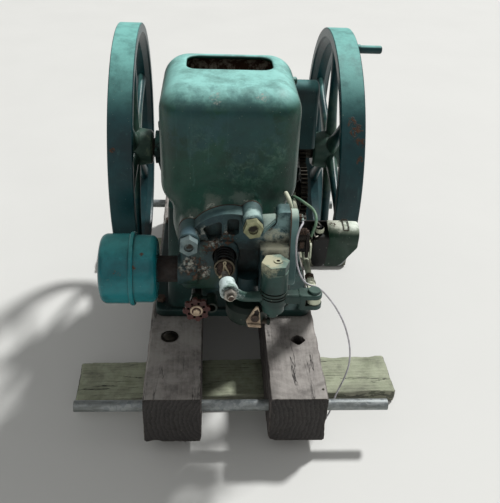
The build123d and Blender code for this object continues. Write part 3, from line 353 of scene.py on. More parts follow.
CLOUD_COLOR = tint(112, 146, 128)
FLECK_COLOR = tint(164, 174, 154)
CRUST_COLOR = tint(172, 174, 164)
PAINT_DIRT_AND_SHADE = tint(24, 25, 19)
LIME_COLORS = (tint(74, 50, 36), tint(168, 160, 144))
BRIGHT_EDGE = tint(150, 140, 120)
IRON_DIRT_AND_SHADE = tint(24, 22, 18)
DARK_BLOT = tint(36, 32, 24)
SAWN_END_AND_SHADE = tint(26, 25, 24)
OIL_STAIN = tint(38, 31, 26)
MOSS = tint(98, 108, 78)
WOOD_SPECK = tint(170, 162, 148)
WOOD_DIRT_AND_SHADE = tint(30, 26, 21)
WOOD_EDGE = tint(150, 138, 120)
CRACK_COLOR = tint(22, 18, 15)


# Old paint on iron: clouded, bleached above a height with painted sunlight on what faces up there, chalky, chipped at
# the corners, dirty and rusting, with painted shade in its hollows.
# Blots are bare, crusts and clouds are pale, haze and painted light are patches of dusty haze, painted light, painted
# shade and painted reflection with a colour and a strength, scaly is a box with lime inside it
def old_paint(
    name, colors, rust, scale, above=0.0, worn=0.8, fade_and_light=1.0, grime_and_shade=0.8, skin=0.0012, gloss=0.42,
    blots=(), crusts=(), clouds=(), scaly=None, haze_and_painted_light=(), steep=0.25,
):
    made, tree, shader, where = material(name)
    shader.inputs["Specular IOR Level"].default_value = 0.32
    dark, base, faded_and_lit = colors
    cloud = noise(tree, where, 13, 6, 0.65)
    color = blend(tree, span(tree, cloud, 0.32, 0.66), dark, base)
    chalk = span(tree, noise(tree, where, 60, 9, 0.78, 0.4), 0.58, 0.8, 0.0, 0.4)
    wide = span(tree, noise(tree, where, 6, 3), 0.42, 0.62)
    chalk = times(tree, chalk, wide)
    runs = noise(tree, stretched(tree, where, (70, 70, 5)), 1.0, 5, 0.6)
    runs = span(tree, runs, 0.6, 0.8, 0.0, 0.1)
    # Paler on what faces up above a height: sun bleaching and painted sunlight
    bleached_and_lit = effect(tree, "sun fade", {"Where": where, "Amount": fade_and_light, "Above": above, "Steep": steep})["Mask"]
    pale = most(tree, bleached_and_lit, most(tree, chalk, runs))
    color = blend(tree, pale, color, faded_and_lit)
    for mask in broken_blots(tree, where, clouds, 0.1, (75, 8, 0.75, 0.5), (0.44, 0.74, 0.0, 0.36)):
        color = blend(tree, mask, color, CLOUD_COLOR)
    # Patches of painted light, painted shade and painted reflection, and of dusty haze
    masks = broken_blots(tree, where, haze_and_painted_light, 0.35, (60, 7, 0.7), (0.25, 0.55, 0.6, 1.0))
    for mask, (_, _, shade, strength) in zip(masks, haze_and_painted_light):
        color = blend(tree, times(tree, mask, strength), color, tint(*shade))
    fleck = span(tree, noise(tree, where, 330, 2, 0.5), 0.73, 0.78, 0.0, 0.6)
    color = blend(tree, fleck, color, FLECK_COLOR)
    # Darker in hollows: settled dirt and painted shade
    dirt_and_shade = settled_dirt_and_shade(tree, where, 0.018, grime_and_shade)
    color = blend(tree, dirt_and_shade, color, PAINT_DIRT_AND_SHADE)
    rusty = effect(tree, "rust", {"Where": where, "Scale": scale, "Cover": rust})
    edge = worn_edge(tree, where, 0.0018, 0.06, 0.34)
    edge = times(tree, edge, worn)
    bare = most(tree, rusty["Mask"], edge)
    for mask in broken_blots(tree, where, blots, 0.6, (170, 7, 0.72), (0.46, 0.53)):
        bare = most(tree, bare, mask)
    color = blend(tree, bare, color, rusty["Color"])
    for mask in broken_blots(tree, where, crusts, 0.6, (150, 9, 0.8), (0.47, 0.6, 0.0, 0.9)):
        color = blend(tree, mask, color, CRUST_COLOR)
        pale = most(tree, pale, mask)
    if scaly:
        lime = span(tree, noise(tree, stretched(tree, where, (60, 60, 16)), 1.0, 8, 0.7), 0.46, 0.6)
        inner = inside_mask(tree, where, *scaly)
        color = blend(tree, inner, color, blend(tree, lime, *LIME_COLORS))
        bare = most(tree, bare, inner)
    rough = plus(tree, gloss, times(tree, pale, 0.3))
    rough = most(tree, rough, times(tree, bare, 0.88))
    cast = effect(tree, "cast skin", {"Where": where})["Height"]
    pitted = times(tree, times(tree, rusty["Height"], 0.6), bare)
    height = plus(tree, times(tree, cast, 0.6), pitted)
    surface(tree, shader, color, rough, height, skin)
    return made


# Share of metal on a surface, less where the rust is
def metal_share(tree, rust_mask, metal):
    return times(tree, calc(tree, "SUBTRACT", 1.0, rust_mask), metal)


# Bare iron, oily or rusty
def bare_iron(name, dark, light, rust, gloss, metal, skin=0.0006, blots=()):
    made, tree, shader, where = material(name)
    smear = noise(tree, where, 34, 6, 0.65)
    color = blend(tree, span(tree, smear, 0.34, 0.64), dark, light)
    edge = worn_edge(tree, where, 0.0012, 0.05, 0.35)
    color = blend(tree, times(tree, edge, 0.6), color, BRIGHT_EDGE)
    rusty = effect(tree, "rust", {"Where": where, "Scale": 70.0, "Cover": rust})
    color = blend(tree, rusty["Mask"], color, rusty["Color"])
    # Darker in hollows: settled dirt and painted shade
    dirt_and_shade = settled_dirt_and_shade(tree, where, 0.008, 0.8)
    color = blend(tree, dirt_and_shade, color, IRON_DIRT_AND_SHADE)
    for centre, size in blots:
        color = blend(tree, blot(tree, where, centre, size), color, DARK_BLOT)
    rough = span(tree, noise(tree, where, 90, 4), 0.3, 0.7, gloss, gloss + 0.25)
    rough = most(tree, rough, times(tree, rusty["Mask"], 0.9))
    height = times(tree, rusty["Height"], span(tree, rusty["Mask"], 0.0, 1.0, 0.35, 1.0))
    surface(tree, shader, color, rough, height, skin, metal_share(tree, rusty["Mask"], metal))
    return made


# Weathered timber; turn in degrees brings the grain on to X
def wood(name, dark, light, grey, turn, pith, stain, green=0.0):
    turn = (0, 0, radians(turn))
    made, tree, shader, where = material(name)
    along = stretched(tree, where, (1, 1, 1), turn)
    grain = effect(tree, "wood", {"Where": along, "Pith": pith})
    color = blend(tree, span(tree, grain["Tone"], 0.34, 0.78), dark, light)
    normal = own_normal(tree)
    upward = span(tree, part_of(tree, normal, "Z"), 0.3, 0.95)
    cloud = span(tree, noise(tree, where, 18, 7, 0.7), 0.3, 0.62, 0.25, 0.85)
    color = blend(tree, times(tree, upward, cloud), color, grey)
    # Darker sawn ends: dark end grain and painted shade on the ends
    lengthwise = part_of(tree, stretched(tree, normal, (1, 1, 1), turn), "X")
    end_grain_and_shade = free_calc(tree, "MULTIPLY", lengthwise, lengthwise)
    color = blend(tree, span(tree, end_grain_and_shade, 0.4, 0.8, 0.0, 0.82), color, SAWN_END_AND_SHADE)
    oil = span(tree, noise(tree, where, 9, 6, 0.7, 0.5), 0.5, 0.64, 0.0, stain)
    color = blend(tree, oil, color, OIL_STAIN)
    moss = span(tree, noise(tree, where, 26, 6, 0.7), 0.45, 0.7, 0.0, green)
    color = blend(tree, moss, color, MOSS)
    speck = span(tree, noise(tree, where, 420, 2), 0.7, 0.78, 0.0, 0.5)
    color = blend(tree, speck, color, WOOD_SPECK)
    # Darker in hollows: settled dirt and painted shade
    dirt_and_shade = settled_dirt_and_shade(tree, where, 0.03, 0.8)
    color = blend(tree, dirt_and_shade, color, WOOD_DIRT_AND_SHADE)
    edge = worn_edge(tree, where, 0.004, 0.03, 0.3)
    color = blend(tree, times(tree, edge, 0.6), color, WOOD_EDGE)
    color = blend(tree, grain["Crack"], color, CRACK_COLOR)
    rough = span(tree, grain["Tone"], 0.2, 0.8, 0.9, 0.72)
    surface(tree, shader, color, rough, grain["Height"], 0.0022)
    return made


# Zinc coated pipe with a dull spangle and rust at scratches
def galvanised(name):
    made, tree, shader, where = material(name)
    cells = node(tree, "TexVoronoi", {"Vector": where, "Scale": 160.0}).outputs["Color"]
    flake = part_of(tree, cells, "X")
    color = blend(tree, flake, tint(120, 126, 128), tint(158, 163, 162))
    smear = span(tree, noise(tree, stretched(tree, where, (8, 40, 40)), 1.0, 6, 0.7), 0.4, 0.7)
    color = blend(tree, smear, color, tint(104, 108, 104))
    rusty = effect(tree, "rust", {"Where": where, "Scale": 46.0, "Cover": 0.34})
    color = blend(tree, rusty["Mask"], color, rusty["Color"])
    rough = span(tree, flake, 0.0, 1.0, 0.42, 0.58)
    rough = most(tree, rough, times(tree, rusty["Mask"], 0.9))
    height = plus(tree, times(tree, smear, 0.4), times(tree, rusty["Height"], 0.4))
    surface(tree, shader, color, rough, height, 0.0004, metal_share(tree, rusty["Mask"], 0.55))
    return made


# Insulation or jacket of a cable, dusty and scuffed
def cable_cover(name, base, dusty, gloss):
    made, tree, shader, where = material(name)
    dust = span(tree, noise(tree, where, 70, 6, 0.7), 0.38, 0.66)
    color = blend(tree, dust, base, dusty)
    scuff = span(tree, noise(tree, where, 300, 3), 0.62, 0.72, 0.0, 0.6)
    color = blend(tree, scuff, color, tint(70, 66, 58))
    rough = span(tree, dust, 0.0, 1.0, gloss, gloss + 0.3)
    surface(tree, shader, color, rough, noise(tree, where, 380, 4), 0.0002)
    return made


# Paints: the dark and the plain colour, and the bleached one, which is also painted sunlight on what faces up
# The bed's greens are darkened as painted shade on the bed, its bearing caps and the push rod guide
bed_greens_shaded = (tint(8, 32, 30), tint(14, 50, 46), tint(84, 136, 126))
wheel_greens = (tint(10, 42, 46), tint(16, 62, 66), tint(122, 188, 180))
hopper_greens = (tint(8, 44, 34), tint(16, 66, 52), tint(146, 206, 198))
head_greens = (tint(22, 42, 44), tint(40, 68, 72), tint(124, 154, 150))
# The plate's greens are a paler copy of the head's that paints sunlight on the igniter plate and the head's web
plate_greens_lit = (tint(74, 104, 104), tint(104, 136, 134), tint(190, 206, 190))
sheet_greens = (tint(10, 76, 82), tint(18, 112, 118), tint(90, 180, 176))
cover_greens = (tint(10, 36, 24), tint(20, 54, 38), tint(188, 200, 178))
mixer_greens = (tint(6, 20, 14), tint(12, 32, 23), tint(44, 66, 54))
hood_greens = (tint(12, 42, 44), tint(20, 60, 62), tint(84, 140, 138))
gear_greens = (tint(24, 46, 42), tint(40, 70, 64), tint(132, 156, 142))
# Pale paint for the push rod and small pale parts, made lighter to paint the sunlight on them
rod_creams_and_light = (tint(174, 182, 158), tint(206, 210, 186), tint(222, 222, 200))
reds = (tint(42, 19, 18), tint(68, 30, 26), tint(104, 66, 54))
blacks = (tint(5, 6, 6), tint(12, 13, 13), tint(36, 38, 37))

# Blots, crusts and clouds: centre and size in millimetres
hopper_inside = ((-131, -245, 416), (101, -3, 633))
hopper_blots = [((107, -60, 610), 6), ((-100, -150, 632), 4)]
hopper_crusts = [
    ((-66, -251, 622), 7), ((-40, -240, 634), 16), ((36, -240, 634), 15),
    ((-48, -294, 456), 9), ((10, -294, 466), 8), ((-84, -294, 434), 9),
]
hopper_clouds = [((15, -251, 505), 75), ((60, -251, 540), 50), ((-60, -251, 560), 45)]
head_blots = [
    ((-40, -336, 402), 22), ((-22, -336, 418), 18), ((-74, -337, 362), 26),
    ((-60, -337, 350), 18), ((50, -330, 440), 8),
]
head_crusts = [
    ((-57, -333, 431), 18), ((-38, -336, 414), 16), ((-84, -337, 368), 18),
    ((-60, -337, 352), 17), ((20, -334, 430), 14), ((-18, -334, 432), 11),
]
head_clouds = [((-40, -330, 440), 50), ((60, -345, 440), 40), ((-80, -336, 400), 45)]
plate_blots = [((106, -318, 451), 10)]
cover_blots = [((165, -290, 423), 8)]
muffler_blots = [
    ((-173, -363, 387), 5), ((-177, -365, 383), 5), ((-157, -360, 391), 4), ((-163, -352, 398), 5),
    ((-174, -367, 381), 5), ((-166, -369, 378), 3), ((-199, -373, 371), 5), ((-207, -371, 374), 4),
    ((-138, -362, 389), 5), ((-138, -370, 378), 5),
]
wheel_blots = [
    ((210, -146, 553), 12), ((219, -152, 545), 12), ((224, -165, 522), 13),
    ((211, -158, 536), 10), ((226, -178, 494), 10), ((-225, -174, 504), 8),
]
nut_blots = [((21.4, -366, 453.5), 9), ((-83.5, -366, 419.4), 8)]

# Patches of painted light, painted shade and painted reflection, and of dusty haze: centre and size in millimetres,
# screen colour and strength
# Painted light: the sunlit spokes of both flywheels and the lit hub of the left one
wheel_painted_light = [
    ((182, 61, 407), 150, (84, 108, 88), 0.5), ((-182, 61, 407), 150, (84, 108, 88), 0.5),
    ((-160, 61, 407), 46, (140, 152, 124), 0.9),
]
# Painted light and shade on the head: pale patches on its right side and ear are painted light, the darkest ones,
# under its middle and low on its left, painted shade
head_painted_light_and_shade = [
    ((56, -322, 424), 34, (92, 122, 128), 0.9), ((76, -322, 446), 26, (120, 150, 150), 0.9),
    ((62, -343, 410), 34, (204, 202, 178), 0.9), ((21, -338, 474), 20, (178, 204, 198), 0.8),
    ((46, -330, 450), 16, (176, 206, 192), 0.8), ((-84, -338, 440), 22, (74, 100, 112), 0.7),
    ((14, -330, 378), 48, (14, 20, 18), 0.85), ((-62, -338, 330), 44, (24, 52, 32), 0.7),
    ((-44, -330, 446), 40, (34, 58, 66), 0.6),
]
# Painted light on the rocker's barrel and on the top of the pivot post
gear_painted_light = [((-19.5, -420.5, 379), 32, (214, 230, 228), 0.97), ((48, -384, 410), 32, (186, 182, 152), 0.9)]
# Painted light on the magneto cover's top
cover_painted_light = [((172, -284, 433), 31, (240, 242, 224), 1.0), ((203, -284, 433), 31, (232, 240, 226), 1.0)]
# Pale dusty haze along the head joint, and a blue-teal band of painted sky reflection below the hopper's front bend
neck_haze_and_painted_reflection = [
    ((-48, -293, 460), 26, (104, 112, 102), 0.5), ((8, -293, 470), 26, (96, 108, 100), 0.5),
    ((-84, -293, 440), 22, (92, 100, 92), 0.5), ((10, -250, 584), 90, (22, 66, 72), 0.5),
    ((-80, -250, 590), 70, (24, 66, 74), 0.5),
]
finishes = {
    "timber": wood("timber", tint(66, 60, 58), tint(106, 99, 96), tint(166, 161, 155), -90, (0, 0.02, 0.09), 0.25),
    "board": wood(
        "board", tint(84, 86, 74), tint(138, 138, 120), tint(170, 176, 150), -1.9, (0, 0.03, -0.02), 0.25, 0.35,
    ),
    "pipe": galvanised("galvanised pipe"),
    "wheel_paint": old_paint(
        "wheel paint", wheel_greens, rust=0.2, scale=70.0, above=0.46, worn=0.8, fade_and_light=1.0, grime_and_shade=0.6,
        skin=0.0009, gloss=0.36, blots=wheel_blots, haze_and_painted_light=wheel_painted_light, steep=0.55,
    ),
    "hopper_paint": old_paint(
        "hopper paint", hopper_greens, rust=0.08, scale=90.0, above=0.57, worn=0.6, fade_and_light=1.0, grime_and_shade=0.6,
        skin=0.0012, gloss=0.33, blots=hopper_blots, crusts=hopper_crusts, clouds=hopper_clouds,
        scaly=hopper_inside, haze_and_painted_light=neck_haze_and_painted_reflection,
    ),
    "head_paint": old_paint(
        "head paint", head_greens, rust=0.3, scale=120.0, above=0.405, worn=0.8, fade_and_light=0.4, grime_and_shade=1.0,
        skin=0.002, gloss=0.45, blots=head_blots, crusts=head_crusts, clouds=head_clouds, haze_and_painted_light=head_painted_light_and_shade,
    ),
    # Paler plate paint: painted sunlight on the igniter plate and the head's web
    "plate_paint_lit": old_paint(
        "lit plate paint", plate_greens_lit, rust=0.24, scale=120.0, above=0.42, worn=0.9, fade_and_light=0.9, grime_and_shade=0.8,
        skin=0.001, gloss=0.45, blots=plate_blots,
    ),
    # Darkened bed paint: painted shade on the bed, its bearing caps and the push rod guide
    "bed_paint_and_shade": old_paint(
        "bed paint and shade", bed_greens_shaded, rust=0.22, scale=60.0, above=0.3, worn=0.7, fade_and_light=0.5, grime_and_shade=1.0, skin=0.0014, gloss=0.5,
    ),
    "sheet_paint": old_paint(
        "sheet paint", sheet_greens, rust=0.2, scale=130.0, above=0.38, worn=0.9, fade_and_light=0.8, grime_and_shade=0.7,
        skin=0.0003, gloss=0.25, blots=muffler_blots,
    ),
    "cover_paint": old_paint(
        "cover paint", cover_greens, rust=0.16, scale=120.0, above=0.355, worn=0.8, fade_and_light=1.0, grime_and_shade=0.6,
        skin=0.0003, gloss=0.36, blots=cover_blots, haze_and_painted_light=cover_painted_light,
    ),
    "mixer_paint": old_paint(
        "mixer paint", mixer_greens, rust=0.16, scale=110.0, above=0.3, worn=0.7, fade_and_light=0.4, grime_and_shade=1.0,
        skin=0.0008, gloss=0.5,
    ),
    "hood_paint": old_paint(
        "hood paint", hood_greens, rust=0.12, scale=90.0, above=0.5, worn=0.7, fade_and_light=0.8, grime_and_shade=0.7,
        skin=0.0003, gloss=0.36,
    ),
    "valve_gear_paint": old_paint(
        "valve gear paint", gear_greens, rust=0.2, scale=130.0, above=0.33, worn=0.8, fade_and_light=0.7, grime_and_shade=1.0,
        skin=0.001, gloss=0.4, haze_and_painted_light=gear_painted_light,
    ),
    # Pale rod paint, lightened to paint the sunlight on the push rod and the small pale parts
    "rod_paint_and_light": old_paint(
        "rod paint and light", rod_creams_and_light, rust=0.2, scale=130.0, above=0.3, worn=0.9, fade_and_light=0.5, grime_and_shade=0.4,
        skin=0.0006, gloss=0.5,
    ),
    "red_paint": old_paint(
        "red paint", reds, rust=0.34, scale=170.0, above=0.28, worn=0.9, fade_and_light=0.4, grime_and_shade=1.0, skin=0.0005, gloss=0.5,
    ),
    "black_paint": old_paint(
        "black paint", blacks, rust=0.1, scale=120.0, above=0.4, worn=0.8, fade_and_light=0.4, grime_and_shade=0.3,
        skin=0.0005, gloss=0.46,
    ),
    "lead_cover": cable_cover("lead cover", tint(84, 122, 98), tint(126, 150, 122), 0.45),
    "wire_cover": cable_cover("wire cover", tint(196, 194, 200), tint(160, 158, 160), 0.4),
}

# Bare metals: name, dark and light colour, cover of rust, roughness, share of metal, then relief in metres and blots
bare_metals = {
    "dark_iron": ("oily iron", (26, 24, 20), (58, 54, 46), 0.3, 0.34, 0.8),
    "rusty_iron": ("rusty iron", (44, 34, 28), (84, 66, 54), 0.6, 0.6, 0.3, 0.0009),
    "burnt_iron": ("burnt iron", (16, 14, 13), (38, 29, 24), 0.4, 0.7, 0.1, 0.001),
    # Pale rust on the choke lever, its foot and the handwheel's hub, made lighter to paint the sunlight on the lever
    # and its foot
    "dry_rust_and_light": ("dry rust and light", (130, 112, 94), (196, 176, 150), 0.3, 0.7, 0.0, 0.0008),
    "nut_steel": ("plated steel", (120, 122, 92), (172, 172, 138), 0.2, 0.4, 0.55, 0.0006, nut_blots),
    "blue_steel": ("blued steel", (70, 86, 90), (112, 128, 128), 0.3, 0.42, 0.5, 0.0006, nut_blots),
    "bright_steel": ("worn steel", (112, 110, 104), (176, 170, 160), 0.25, 0.34, 0.7),
    "gasket": ("old gasket", (40, 29, 22), (88, 62, 46), 0.4, 0.75, 0.0),
    "spring_iron": ("spring iron", (15, 17, 18), (40, 42, 42), 0.14, 0.28, 0.85),
    "pin_steel": ("pin steel", (120, 108, 86), (190, 178, 148), 0.2, 0.4, 0.3),
    # Lighter steel for the valve spring's last turn: worn steel with a painted highlight
    "coil_steel_and_highlight": ("coil steel and painted highlight", (58, 53, 45), (104, 96, 80), 0.3, 0.3, 0.7),
}
for finish, (name, dark, light, *rest) in bare_metals.items():
    finishes[finish] = bare_iron(name, tint(*dark), tint(*light), *rest)

# The CAD nodes that wear each finish
worn_by = {
    "timber": ["skid_left", "skid_right"],
    "board": ["cross_board_front", "cross_board_rear"],
    "pipe": ["cross_pipe_front", "cross_pipe_rear"],
    "wheel_paint": ["flywheel_left", "flywheel_right", "crank_handle"],
    "hopper_paint": ["hopper"],
    "head_paint": ["cylinder_head"],
    "plate_paint_lit": ["igniter_plate"],
    "bed_paint_and_shade": ["bed", "bearing_cap_left", "bearing_cap_right", "push_rod_guide"],
    "hood_paint": ["crank_hood"],
    "sheet_paint": ["muffler"],
    "cover_paint": ["magneto_cover"],
    "mixer_paint": ["mixer", "drain_valve"],
    "valve_gear_paint": ["pivot_bracket", "pivot_post", "rocker_arm"],
    "rod_paint_and_light": ["push_rod"],
    "red_paint": ["drain_handwheel"],
    "black_paint": ["magneto_magnets", "magneto_bracket"],
    "dark_iron": ["crankshaft", "crank_gear", "cam_gear", "cam", "valve_spring", "igniter_stud"],
    "rusty_iron": ["exhaust_valve", "choke_pin", "hold_down_bolts"],
    "dry_rust_and_light": ["choke_lever"],
    "burnt_iron": ["exhaust_nipple", "igniter_trip"],
    "nut_steel": ["head_stud_right"],
    "blue_steel": ["head_stud_left"],
    "bright_steel": ["adjusting_screw"],
    "lead_cover": ["ignition_lead"],
}
for finish, names in worn_by.items():
    for name in names:
        for slot in nodes[name].material_slots:
            slot.material = finishes[finish]


# A mesh made from worked faces, with doubles merged and faces outwards
def mesh_of(work, name):
    bmesh.ops.remove_doubles(work, verts=work.verts, dist=1e-6)
    bmesh.ops.recalc_face_normals(work, faces=work.faces)
    mesh = bpy.data.meshes.new(name)
    work.to_mesh(mesh)
    work.free()
    return mesh


# Puts worked faces in the scene as a finished piece with its material and its body
def piece(name, work, finish, body, smooth=35):
    mesh = mesh_of(work, name)
    obj = in_scene(name, mesh)
    mesh.materials.append(finishes[finish])
    mesh.shade_smooth()
    mesh.set_sharp_from_angle(angle=radians(smooth))
    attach(obj, body)
    return obj


# The evaluated mesh of a holder, which is then a plain mesh of its own
def plain_mesh(holder):
    bpy.context.view_layer.update()
    return bpy.data.meshes.new_from_object(holder.evaluated_get(bpy.context.evaluated_depsgraph_get()))


# The faces of a mesh, to be worked on
def faces_of(mesh):
    work = bmesh.new()
    work.from_mesh(mesh)
    return work


# A matrix that stands a shape's own Z along the axis, in millimetres
def stand(origin, axis, spin=0.0):
    turn = Vector(axis).to_track_quat("Z", "Y").to_matrix().to_4x4()
    return Matrix.Translation(mm(*origin)) @ turn @ Matrix.Rotation(radians(spin), 4, "Z") @ Matrix.Scale(0.001, 4)


# Turned shape from pairs of radius and height, in millimetres
def turned(profile, place, steps=32):
    work = bmesh.new()
    rings = []
    for radius, height in profile:
        count = steps if radius > 0 else 1
        ring = []
        for n in range(count):
            angle = 2 * pi * n / steps
            ring.append(work.verts.new(place @ Vector((radius * cos(angle), radius * sin(angle), height))))
        rings.append(ring)
    for low, high in zip(rings, rings[1:]):
        for n in range(steps):
            corners = [low[n % len(low)], low[(n + 1) % len(low)]]
            corners += [high[(n + 1) % len(high)], high[n % len(high)]]
            unique = list(dict.fromkeys(corners))
            if len(unique) > 2:
                work.faces.new(unique)
    return work


# Flat outline given a thickness along the place's Z
def slab(outline, low, high, place, hole=None):
    work = bmesh.new()

    def wall(points):
        bottom = [work.verts.new(place @ Vector((x, y, low))) for x, y in points]
        top = [work.verts.new(place @ Vector((x, y, high))) for x, y in points]
        for n in range(len(points)):
            after = (n + 1) % len(points)
            work.faces.new((bottom[n], bottom[after], top[after], top[n]))
        return bottom, top

    outer = wall(outline)
    if hole is None:
        work.faces.new(outer[0])
        work.faces.new(outer[1])
    else:
        inner = wall(hole)
        for a, b in zip(outer, inner):
            for n in range(len(outline)):
                after = (n + 1) % len(outline)
                work.faces.new((a[n], a[after], b[after], b[n]))
    return work


# Corners of a regular polygon, or points of a circle round the origin
def polygon(sides, radius, spin=0.0):
    angles = [2 * pi * n / sides + spin for n in range(sides)]
    return [(radius * cos(angle), radius * sin(angle)) for angle in angles]


# Round section swept along a smooth path of points, in millimetres
def swept_round(name, points, radius, order, roundness, fineness):
    data = bpy.data.curves.new(name, "CURVE")
    data.dimensions = "3D"
    data.bevel_depth = radius / 1000
    data.bevel_resolution = roundness
    data.use_fill_caps = True
    data.resolution_u = fineness
    spline = data.splines.new("NURBS")
    spline.points.add(len(points) - 1)
    for spot, point in zip(spline.points, points):
        spot.co = (*mm(*point), 1.0)
    spline.order_u = order
    spline.use_endpoint_u = True
    return data


# Round bar along a path, as worked faces; order 2 keeps its corners sharp
def bent_bar(name, points, radius, order=3):
    holder = in_scene(name, swept_round(name, points, radius, order, 6, 8))
    mesh = plain_mesh(holder)
    bpy.data.objects.remove(holder)
    return faces_of(mesh)


WINDING_SIZES = (
    ("Radius", "Float", 0.005), ("End Radius", "Float", 0.005), ("Pitch", "Float", 0.0015),
    ("Turns", "Float", 8.0), ("Ridge", "Float", 0.0006), ("Sides", "Int", 4),
)


# Screw thread or coil spring: a ridge wound along a spiral, made by a node tree with named sizes
def winding_tree():
    tree = bpy.data.node_groups.new("winding", "GeometryNodeTree")
    face = tree.interface
    face.new_socket("Geometry", in_out="OUTPUT", socket_type="NodeSocketGeometry")
    for label, kind, value in WINDING_SIZES:
        made = face.new_socket(label, in_out="INPUT", socket_type="NodeSocket" + kind)
        made.default_value = value
    face.new_socket("Finish", in_out="INPUT", socket_type="NodeSocketMaterial")
    given = tree.nodes.new("NodeGroupInput").outputs

    def part(kind, values):
        made = tree.nodes.new("GeometryNode" + kind)
        for key, value in values.items():
            feed(tree, made.inputs[key], value)
        return made.outputs[0]

    height = free_calc(tree, "MULTIPLY", given["Pitch"], given["Turns"])
    values = {"Resolution": 20, "Rotations": given["Turns"], "Height": height}
    values |= {"Start Radius": given["Radius"], "End Radius": given["End Radius"]}
    spiral = part("CurveSpiral", values)
    ridge = part("CurvePrimitiveCircle", {"Radius": given["Ridge"], "Resolution": given["Sides"]})
    sweep = part("CurveToMesh", {"Curve": spiral, "Profile Curve": ridge, "Fill Caps": True})
    real = part("RealizeInstances", {0: sweep})
    finished = part("SetMaterial", {"Geometry": real, "Material": given["Finish"]})
    feed(tree, tree.nodes.new("NodeGroupOutput").inputs[0], finished)
    return tree


winding = winding_tree()


# Winds one ridge and returns it as plain geometry, sizes in millimetres
def wound(radius, pitch, turns, ridge, place, finish, sides=4, end=None):
    holder = in_scene("winding", bpy.data.meshes.new("winding"))
    modifier = holder.modifiers.new("winding", "NODES")
    modifier.node_group = winding
    sizes = {"Radius": radius, "End Radius": end or radius, "Pitch": pitch, "Turns": float(turns)}
    sizes |= {"Ridge": ridge, "Sides": sides, "Finish": finishes[finish]}
    for item in winding.interface.items_tree:
        if item.item_type == "SOCKET" and item.in_out == "INPUT":
            modifier[item.identifier] = sizes[item.name]
    mesh = plain_mesh(holder)
    holder.modifiers.clear()
    bpy.data.objects.remove(holder)
    work = faces_of(mesh)
    bmesh.ops.transform(work, matrix=place, verts=work.verts)
    return work


# Several worked shapes as one
def joined(first, *others):
    for work in others:
        mesh = bpy.data.meshes.new("part")
        work.to_mesh(mesh)
        work.free()
        first.from_mesh(mesh)
        bpy.data.meshes.remove(mesh)
    return first


# Loose wire from the igniter plate over the push rod to the ground
WIRE_ROUTE = [
    (106, -330, 451), (106, -337, 451), (103, -345, 453), (97.5, -354, 448), (94.1, -357, 431), (95.4, -357, 401.3),
    (98.6, -357.5, 381.2), (104.5, -362, 364.2), (112.6, -364, 351), (122, -366, 345.5), (134, -366.5, 343.5),
    (147, -366, 332), (159, -362, 315.9), (177, -356, 287.3), (196.9, -350, 246.4), (212.9, -345, 195),
    (217.7, -345, 153.2), (212.8, -343, 112.5), (206, -335, 75), (201, -330, 42), (197.5, -331, 18),
    (191, -338, 4.5), (181, -347, 1.7), (171, -355, 1.7),
]


WIRE_DIAMETER = 0.0032


def make_loose_wire():
    radius = WIRE_DIAMETER / 2 * 1000
    data = swept_round("wire", WIRE_ROUTE, radius, 3, 4, 12)
    data.materials.append(finishes["wire_cover"])
    wire = in_scene("wire", data)
    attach(wire, "frame")
    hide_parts("loose_wire")


make_loose_wire()


# Outline of the head joint, farthest of the round flange and its four stud lobes
HEAD_X, HEAD_Z = -14.0, 384.0
FLANGE_RADIUS = 79.5
STUD_CIRCLE = 78
FIRST_STUD = 63
LOBE_SIZES = (18.0, 18.0, 14.0, 14.0)


def head_outline(grow, steps=144):
    circles = [(0.0, 0.0, FLANGE_RADIUS)]
    for n, size in enumerate(LOBE_SIZES):
        angle = radians(FIRST_STUD + 90 * n)
        circles.append((STUD_CIRCLE * cos(angle), STUD_CIRCLE * sin(angle), size))
    points = []
    for n in range(steps):
        angle = 2 * pi * n / steps
        reach = 0.0
        for x, z, size in circles:
            along = x * cos(angle) + z * sin(angle)
            across = abs(x * sin(angle) - z * cos(angle))
            if across < size and along >= 0:
                reach = max(reach, along + sqrt(size * size - across * across))
        points.append((HEAD_X + (reach + grow) * cos(angle), HEAD_Z + (reach + grow) * sin(angle)))
    return points


# Places a sketch of world X and Z so that its thickness runs towards -Y
def facing_front(y):
    return Matrix.Translation((0, y / 1000, 0)) @ Matrix.Rotation(radians(90), 4, "X") @ Matrix.Scale(0.001, 4)


# Gasket between the cylinder and its head
def make_head_gasket():
    work = slab(head_outline(0.9), -0.9, 0.7, facing_front(-299), head_outline(-7.0))
    piece("head_gasket", work, "gasket", "frame")


make_head_gasket()


# Outline round two circles, given as centre and radius
def round_both(first, second, steps=40):
    points = []
    for x, y, radius in (first, second):
        points += [(x + across, y + up) for across, up in polygon(steps, radius)]
    return [points[n] for n in convex_hull_2d(points)]


# Places a sketch of world Y and Z so that its thickness runs towards +X
def facing_right(x):
    turn = Matrix(((0, 0, 1, 0), (1, 0, 0, 0), (0, 1, 0, 0), (0, 0, 0, 1)))
    return Matrix.Translation((x / 1000, 0, 0)) @ turn @ Matrix.Scale(0.001, 4)


# Gasket under the igniter plate
def make_igniter_gasket():
    outline = round_both((-318, 447, 19.5), (-324, 345, 23.5))
    work = slab(outline, 0.25, 1.85, facing_right(85))
    piece("igniter_gasket", work, "gasket", "frame")


make_igniter_gasket()


# Pipe that rises behind the igniter plate under the hopper corner
def make_side_pipe():
    path = [(92.6, -291, 430), (92.3, -287, 446), (88, -281, 461), (85.5, -272, 466), (83, -258, 466)]
    work = bent_bar("side_pipe", path, 3.9)
    collar = turned([(0, 0), (5.6, 0), (5.6, 6), (0, 6)], stand((92.6, -291.2, 430), (0, 0.2, 1)), 24)
    piece("side_pipe", joined(work, collar), "rod_paint_and_light", "frame")


make_side_pipe()


# Upright place at a point, for turned shapes and slabs
def upright(x, y, z, spin=0.0):
    return stand((x, y, z), (0, 0, 1), spin)


